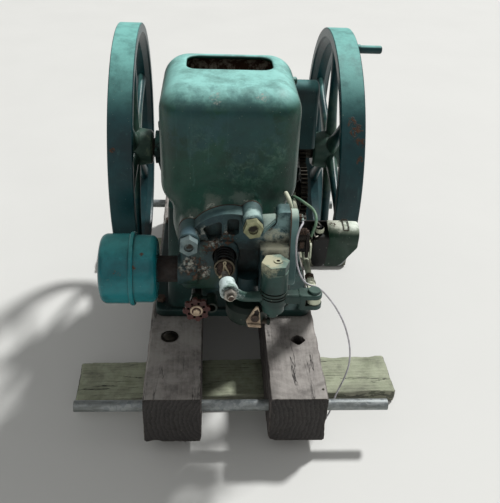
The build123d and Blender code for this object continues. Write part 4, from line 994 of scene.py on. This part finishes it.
# Place whose own Z runs to the right
def sideways(x, y, z):
    return stand((x, y, z), (1, 0, 0))


# Dome-headed bolt in the left timber, with its washer
def make_timber_bolt():
    place = upright(-127, -254, 140, 20)
    dome = [(0, 7.0), (4.5, 6.6), (8.5, 5.2), (11.5, 2.9), (12.6, 1.6), (12.6, 0.2), (0, 0.2)]
    work = turned(dome, place, 28)
    washer = turned([(0, 0), (17, 0), (17, 1.5), (16.6, 1.8), (0, 1.8)], place, 32)
    piece("timber_bolt", joined(work, washer), "dark_iron", "frame")


make_timber_bolt()


# Axis of the adjusting screw, from the ball that presses on the valve stem
SCREW_LEAN, SCREW_DIP = radians(9), radians(8)
SCREW_AXIS = Vector((sin(SCREW_LEAN) * cos(SCREW_DIP), -cos(SCREW_LEAN) * cos(SCREW_DIP), -sin(SCREW_DIP)))
SCREW_BALL = Vector((-24, -388.8, 384))


# A place on the adjusting screw, so many millimetres from its ball
def on_screw(distance):
    return stand(tuple(SCREW_BALL + SCREW_AXIS * distance), tuple(SCREW_AXIS))


# Collar on the rocker's barrel, with the screw's tip and the threads at both its ends
def make_screw_trim():
    swell = [(12.6, 0), (13.4, 0.4), (14.9, 8), (15.2, 10), (15.2, 15), (14.4, 16), (12.6, 16), (12.6, 0)]
    collar = turned(swell, on_screw(29.6), 40)
    piece("barrel_collar", collar, "valve_gear_paint", "rocker")
    tip = turned([(0, 0), (5.4, 0), (5.4, 4.4), (4.6, 5.2), (0, 5.6)], on_screw(54.2), 28)
    front = wound(5.35, 1.1, 3, 0.55, on_screw(54.5), "rusty_iron")
    back = wound(5.35, 1.1, 3, 0.55, on_screw(6.2), "rusty_iron")
    work = joined(front, back, tip)
    piece("adjusting_thread", work, "rusty_iron", "rocker")


make_screw_trim()


# Threads on the igniter's studs, the mixer's fuel screw and the push rod
def make_threads():
    lower = wound(3.5, 1.1, 5, 0.45, sideways(106, -324, 345), "rusty_iron")
    stub = wound(3.5, 1.1, 5, 0.45, sideways(106.5, -318, 451), "rusty_iron")
    stud = wound(3.5, 1.1, 9, 0.45, sideways(118, -306, 398), "rusty_iron")
    fuel = wound(4.4, 1.2, 8, 0.5, sideways(41, -376, 276), "rusty_iron")
    work = joined(lower, stub, stud, fuel)
    piece("stud_threads", work, "rusty_iron", "frame")
    rod = wound(5.35, 1.5, 8, 0.6, stand((128, -333.5, 331.5), (0, 1, 0)), "rusty_iron")
    nut = slab(polygon(6, 9.0, 0.3), 0, 7, stand((128, -326, 331.5), (0, 1, 0)))
    piece("rod_thread", joined(rod, nut), "rusty_iron", "rod")


make_threads()


def soften_edges(work, width, segments=2):
    bmesh.ops.bevel(work, geom=list(work.edges), offset=width, segments=segments, affect="EDGES")


# Igniter: return spring, its block, nut and trip lever on the side plate
def make_igniter_gear():
    spring = wound(5.4, 2.6, 5, 1.0, sideways(101, -330, 431), "rusty_iron", 8)
    peg = turned([(0, 0), (3, 0), (3, 18), (2.4, 19), (0, 19)], sideways(99, -330, 431), 20)
    block = slab(polygon(4, 9, pi / 4), 0, 8, sideways(104, -325, 404))
    soften_edges(block, 0.0008)
    piece("igniter_spring", joined(spring, peg, block), "rusty_iron", "frame")
    nut = slab(polygon(6, 6.4, 0.2), 0, 5, sideways(118, -324, 404))
    piece("igniter_nut", nut, "nut_steel", "frame")
    outline = round_both((-331, 402, 6.5), (-334, 384, 4.0))
    lever = slab(outline, 0, 3, facing_right(121.5))
    piece("trip_lever", lever, "rod_paint_and_light", "frame")


make_igniter_gear()


# Knurled thumb nut of the magneto's terminal
THUMB_X, THUMB_Y = 142, -297


def make_thumb_nut():
    nut = [(0, 0), (6.6, 0), (7.3, 0.8), (7.3, 8.2), (6.6, 9), (0, 9)]
    work = turned(nut, upright(THUMB_X, THUMB_Y, 411), 24)
    rib = [(0, 0), (0.8, 0), (0.8, 7), (0, 7)]
    ribs = [turned(rib, upright(THUMB_X + x, THUMB_Y + y, 412), 6) for x, y in polygon(18, 7.2)]
    piece("thumb_nut", joined(work, *ribs), "rod_paint_and_light", "frame")


make_thumb_nut()


# Hooked wire ends at the thumb nut
def make_terminal_hooks():
    hook = [(128, -311, 428), (129.5, -311.5, 420), (131.5, -312, 412), (135, -312, 409), (138, -309, 410)]
    ring = [(142, -297, 422), (139, -303, 423), (134, -304, 427), (134, -300, 431), (138, -297, 431), (141, -299, 427)]
    work = joined(bent_bar("hooks", hook, 1.1), bent_bar("hooks", ring, 1.1))
    piece("terminal_hooks", work, "bright_steel", "frame")


make_terminal_hooks()


# Wire clip over the magneto cover: a closed loop with a bar near its back
def make_cover_clip():
    side = [(-304, 418.4), (-299, 421.9), (-291, 424), (-275, 424)]
    left = [(183, y, z) for y, z in side]
    right = [(192, y, z) for y, z in reversed(side)]
    loop = bent_bar("clip", left + right + left[:1], 0.9, 2)
    bar = bent_bar("clip", [(178, -279, 424.2), (192, -279, 424.2)], 0.9, 2)
    piece("cover_clip", joined(loop, bar), "dark_iron", "frame")


make_cover_clip()


# A copy of a solid's mesh with its doubles merged
def merged_copy(body_node):
    work = faces_of(nodes[body_node].data)
    bmesh.ops.remove_doubles(work, verts=work.verts, dist=1e-5)
    return work


# Puts even faces on a merged copy, then smooths it as far as the weights say
def evened(work, name, voxel, weigh=None, rounds=1):
    mesh = bpy.data.meshes.new(name)
    work.to_mesh(mesh)
    work.free()
    holder = in_scene(name, mesh)
    remesh = holder.modifiers.new("even faces", "REMESH")
    remesh.mode = "VOXEL"
    remesh.voxel_size = voxel
    even = plain_mesh(holder)
    holder.modifiers.clear()
    if weigh:
        holder.data = even
        weights = holder.vertex_groups.new(name="weights")
        for vert in even.vertices:
            weights.add([vert.index], weigh(vert.co * 1000), "REPLACE")
        smooth = holder.modifiers.new("smooth", "SMOOTH")
        smooth.factor = 0.5
        smooth.iterations = rounds
        smooth.vertex_group = "weights"
        even = plain_mesh(holder)
        holder.modifiers.clear()
    bpy.data.objects.remove(holder)
    return faces_of(even)


def limited(value):
    return min(max(value, 0), 1)


# Hopper casting whose neck runs into its front wall in a wide hollow
NECK_X, NECK_Z = -14, 396
NECK_RADIUS = 98
HOLLOW_Y = -252
HOLLOW_REACH, HOLLOW_FADE = 56, 26
NECK_END_Y, NECK_END_FADE = -289, 14
WALL_BACK_Y = -235
HOPPER_VOXEL = 0.0036
HOLLOW_ROUNDS = 160


def make_hopper():
    def hollow(spot):
        radius = sqrt((spot.x - NECK_X) ** 2 + (spot.z - NECK_Z) ** 2)
        away = sqrt((radius - NECK_RADIUS) ** 2 + (spot.y - HOLLOW_Y) ** 2)
        near = limited((HOLLOW_REACH - away) / HOLLOW_FADE)
        clear = limited((spot.y - NECK_END_Y) / NECK_END_FADE)
        outside = 1 if spot.y < WALL_BACK_Y else 0.25
        return max(near * clear * outside, 0.02)
    work = evened(merged_copy("hopper"), "cast_hopper", HOPPER_VOXEL, hollow, HOLLOW_ROUNDS)
    obj = piece("cast_hopper", work, "hopper_paint", "frame", 60)
    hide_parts("hopper")


make_hopper()


# Magneto frame and cover, shorter at the foot and leaning a little
MAGNETO_LEFT, MAGNETO_WIDTH = 131, 30
FOOT_TOP, FOOT_SHARE, FOOT_LEAN = 400, 0.8, 0.07
COVER_LEFT, COVER_SHARE, COVER_FALL = 164.5, 0.93, 0.04


def make_magneto():
    for body_node, name, finish, slot in (
        ("magneto_magnets", "magneto_frame", "black_paint", "black_paint"),
        ("magneto_cover", "magneto_hood", "cover_paint", "green_paint"),
    ):
        work = merged_copy(body_node)
        for vert in work.verts:
            x, y, z = vert.co * 1000
            side = limited((x - MAGNETO_LEFT) / MAGNETO_WIDTH)
            if z < FOOT_TOP:
                z = FOOT_TOP - (FOOT_TOP - z) * FOOT_SHARE
                x -= FOOT_LEAN * (FOOT_TOP - z) * side
            if x > COVER_LEFT:
                z -= COVER_FALL * (x - COVER_LEFT)
                x = COVER_LEFT + (x - COVER_LEFT) * COVER_SHARE
            vert.co = mm(x, y, z)
        obj = piece(name, work, finish, "frame", 30)
        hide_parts(body_node)


make_magneto()


# Valve end: stem, stepped spring seat and the coil that stands round it
VALVE_X, VALVE_Z = -24, 384
PLATE_BACK_Y = -0.3733
PLATE_RADIUS = 0.0118


# A place on the valve's axis, facing the front
def on_valve(y, spin=0.0):
    return stand((VALVE_X, y, VALVE_Z), (0, -1, 0), spin)


def make_valve_end():
    axis = mm(VALVE_X, 0, VALVE_Z)
    work = merged_copy("exhaust_valve")
    for vert in work.verts:
        across = Vector((vert.co.x - axis.x, 0, vert.co.z - axis.z))
        if vert.co.y < PLATE_BACK_Y and across.length > PLATE_RADIUS:
            across *= PLATE_RADIUS / across.length
            vert.co.x = across.x + axis.x
            vert.co.z = across.z + axis.z
    steps = [(0, 0), (13.6, 0), (13.6, 2.2), (11.2, 3.4), (11.2, 5.4), (9, 6.6), (9, 8.2), (7, 9.4), (7, 10.8)]
    steps += [(6, 11.4), (0, 11.4)]
    seat = turned(steps, on_valve(-371), 40)
    obj = piece("valve_end", joined(work, seat), "rusty_iron", "valve")
    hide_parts("exhaust_valve")
    coil = wound(16.5, 8.3, 5.2, 2.0, on_valve(-325, 200), "spring_iron", 12)
    obj = piece("coil_spring", coil, "spring_iron", "valve")
    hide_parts("valve_spring")
    # The last turn is lighter: worn steel with a painted highlight
    last = wound(16.5, 7.8, 1.3, 2.1, on_valve(-368.1, 272), "coil_steel_and_highlight", 12, 14.6)
    piece("coil_end", last, "coil_steel_and_highlight", "valve")


make_valve_end()


# A timber or board over its CAD solid, with rounded, chipped and dented corners
WOOD_VOXEL = 0.004
CORNER_WIDTH = 0.012


def worn_wood(name, body_node, finish, depth, turn=0.0):
    work = evened(merged_copy(body_node), name, WOOD_VOXEL)
    work.normal_update()
    low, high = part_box(body_node)
    back = Matrix.Rotation(-turn, 3, "Z")
    middle = (Vector(low) + Vector(high)) / 2
    half = [0, 0, 0]
    for vert in work.verts:
        away = back @ (vert.co - middle)
        half = [max(h, abs(a)) for h, a in zip(half, away)]
    moves = []
    for vert in work.verts:
        away = back @ (vert.co - middle)
        gaps = sorted(max(h - abs(a), 0) for h, a in zip(half, away))
        corner = max(0.0, 1 - gaps[1] / CORNER_WIDTH)
        chips = lumps.noise(vert.co * 34) + 0.3 * lumps.noise(vert.co * 130)
        dent = max(0.0, chips) * corner ** 1.5
        wave = 0.12 + 0.12 * lumps.noise(vert.co * 11)
        moves.append(vert.normal * -depth * (dent + wave))
    for vert, move in zip(work.verts, moves):
        vert.co += move
    obj = piece(name, work, finish, "frame", 50)
    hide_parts(body_node)


TIMBER_CHIP, BOARD_CHIP = 0.006, 0.005
BOARD_SKEW = radians(1.9)
worn_wood("left_timber", "skid_left", "timber", TIMBER_CHIP)
worn_wood("right_timber", "skid_right", "timber", TIMBER_CHIP)
worn_wood("front_board", "cross_board_front", "board", BOARD_CHIP, BOARD_SKEW)
worn_wood("rear_board", "cross_board_rear", "board", BOARD_CHIP, BOARD_SKEW)


# Split pin through the end of the valve stem
def make_split_pin():
    left = [(-24.5, -380, 396), (-25.5, -382, 392), (-25.8, -384, 386), (-28.5, -386, 378), (-33, -385, 374)]
    right = [(-24, -380, 396), (-22.5, -382, 391), (-18.5, -384, 385), (-16.8, -385, 379), (-18, -386, 373)]
    eye = [(-24.5, -380, 395), (-27, -379.5, 399), (-24, -379, 402), (-21.5, -379.5, 399), (-24, -380, 395)]
    work = joined(bent_bar("pin", left, 1.6), bent_bar("pin", right, 1.6), bent_bar("pin", eye, 1.1))
    piece("split_pin", work, "pin_steel", "valve")


make_split_pin()


# Web between the stud boss and the igniter side of the head
def make_web():
    work = bmesh.new()
    top = [(36, -318, 458.5), (62, -318, 460.5), (62, -330, 456), (38, -347, 442)]
    depth = 9
    upper = [work.verts.new(mm(*spot)) for spot in top]
    lower = [work.verts.new(mm(x, y, z - depth)) for x, y, z in top]
    work.faces.new(upper)
    work.faces.new(lower[::-1])
    for n in range(4):
        work.faces.new((upper[n], upper[n - 1], lower[n - 1], lower[n]))
    soften_edges(work, 0.0016, 3)
    piece("head_web", work, "plate_paint_lit", "frame")


make_web()


# Folded foot of the choke lever, and a dark slab on it that paints the shade in its hole
def make_choke_trim():
    foot = [(16.4, 284.6), (17.6, 277.4), (40.4, 275.6), (39.6, 282.4)]
    ledge = slab(foot, 392.3, 395.2, facing_front(0))
    soften_edges(ledge, 0.0008)
    piece("choke_foot", ledge, "dry_rust_and_light", "choke")
    # Painted shade: a thin dark slab where the lever's hole is
    spot = [(25.6, 298), (34.6, 297.4), (36.2, 307), (32.4, 314), (27.6, 307)]
    hole = slab(spot, 392.0, 392.7, facing_front(0))
    piece("choke_hole_shade", hole, "burnt_iron", "choke")


make_choke_trim()


# Raised hub ring, washer and nut of the drain handwheel
def make_wheel_hub():
    place = stand((-71, -371, 295), (0, -1, 0))
    ring = turned([(6.6, 0), (10.6, 0), (11, 1.2), (10.2, 2.6), (8.2, 3), (6.6, 2.4), (6.6, 0)], place, 32)
    nut = slab(polygon(6, 6.0, 0.4), 3, 6.5, place)
    piece("wheel_hub", joined(ring, nut), "dry_rust_and_light", "drain_wheel")


make_wheel_hub()


# Nails in the boards, and a small one in the right timber's top near its end
BOARD_NAIL_X = (-150, -125, 85, 140)
BOARD_NAIL_Y = (-262, 240)
BOARD_NAIL_Z = 31.9


def make_nails():
    head = [(0, 0), (4, 0), (4, 0.8), (0, 1.1)]
    spots = [upright(x, y, BOARD_NAIL_Z) for x in BOARD_NAIL_X for y in BOARD_NAIL_Y]
    nails = [turned(head, spot, 12) for spot in spots]
    small = turned([(0, 0), (2.2, 0), (2.2, 0.4), (0, 0.6)], upright(160, -404, 140), 12)
    piece("nails", joined(small, *nails), "dark_iron", "frame")


make_nails()


# Plain pale studio: floor, even sky light, one soft sun and a weak, wide fill from the front
SKY_LIGHT = 0.35
FLOOR_HALF = 8


def make_sky():
    world = bpy.data.worlds.new("studio")
    bpy.context.scene.world = world
    world.use_nodes = True
    sky = world.node_tree.nodes["Background"]
    sky.inputs[0].default_value = (1.0, 1.0, 1.0, 1.0)
    sky.inputs[1].default_value = SKY_LIGHT
    bpy.context.scene.view_settings.view_transform = "Standard"


make_sky()


def make_floor():
    mesh = bpy.data.meshes.new("floor")
    corners = [(-FLOOR_HALF, -FLOOR_HALF, 0), (FLOOR_HALF, -FLOOR_HALF, 0)]
    corners += [(FLOOR_HALF, FLOOR_HALF, 0), (-FLOOR_HALF, FLOOR_HALF, 0)]
    mesh.from_pydata(corners, [], [(0, 1, 2, 3)])
    pale, tree, shader, where = material("studio floor")
    cloud = noise(tree, where, 3.0, 4)
    color = blend(tree, cloud, tint(206, 206, 202), tint(214, 214, 210))
    surface(tree, shader, color, span(tree, cloud, 0, 1, 0.7, 0.8), cloud, 0.0005)
    mesh.materials.append(pale)
    in_scene("floor", mesh)


make_floor()


# A sun lamp with its width, the side it stands on and its height, all in degrees
def soft_sun(name, energy, width, azimuth, height):
    data = bpy.data.lights.new(name, "SUN")
    data.energy = energy
    data.angle = radians(width)
    lamp = in_scene(name, data)
    side, up = radians(azimuth), radians(height)
    away = Vector((cos(side) * cos(up), sin(side) * cos(up), sin(up)))
    lamp.rotation_euler = away.to_track_quat("Z", "Y").to_euler()


soft_sun("key", 3.35, width=6, azimuth=42, height=52)
soft_sun("front fill", 0.26, width=60, azimuth=250, height=35)
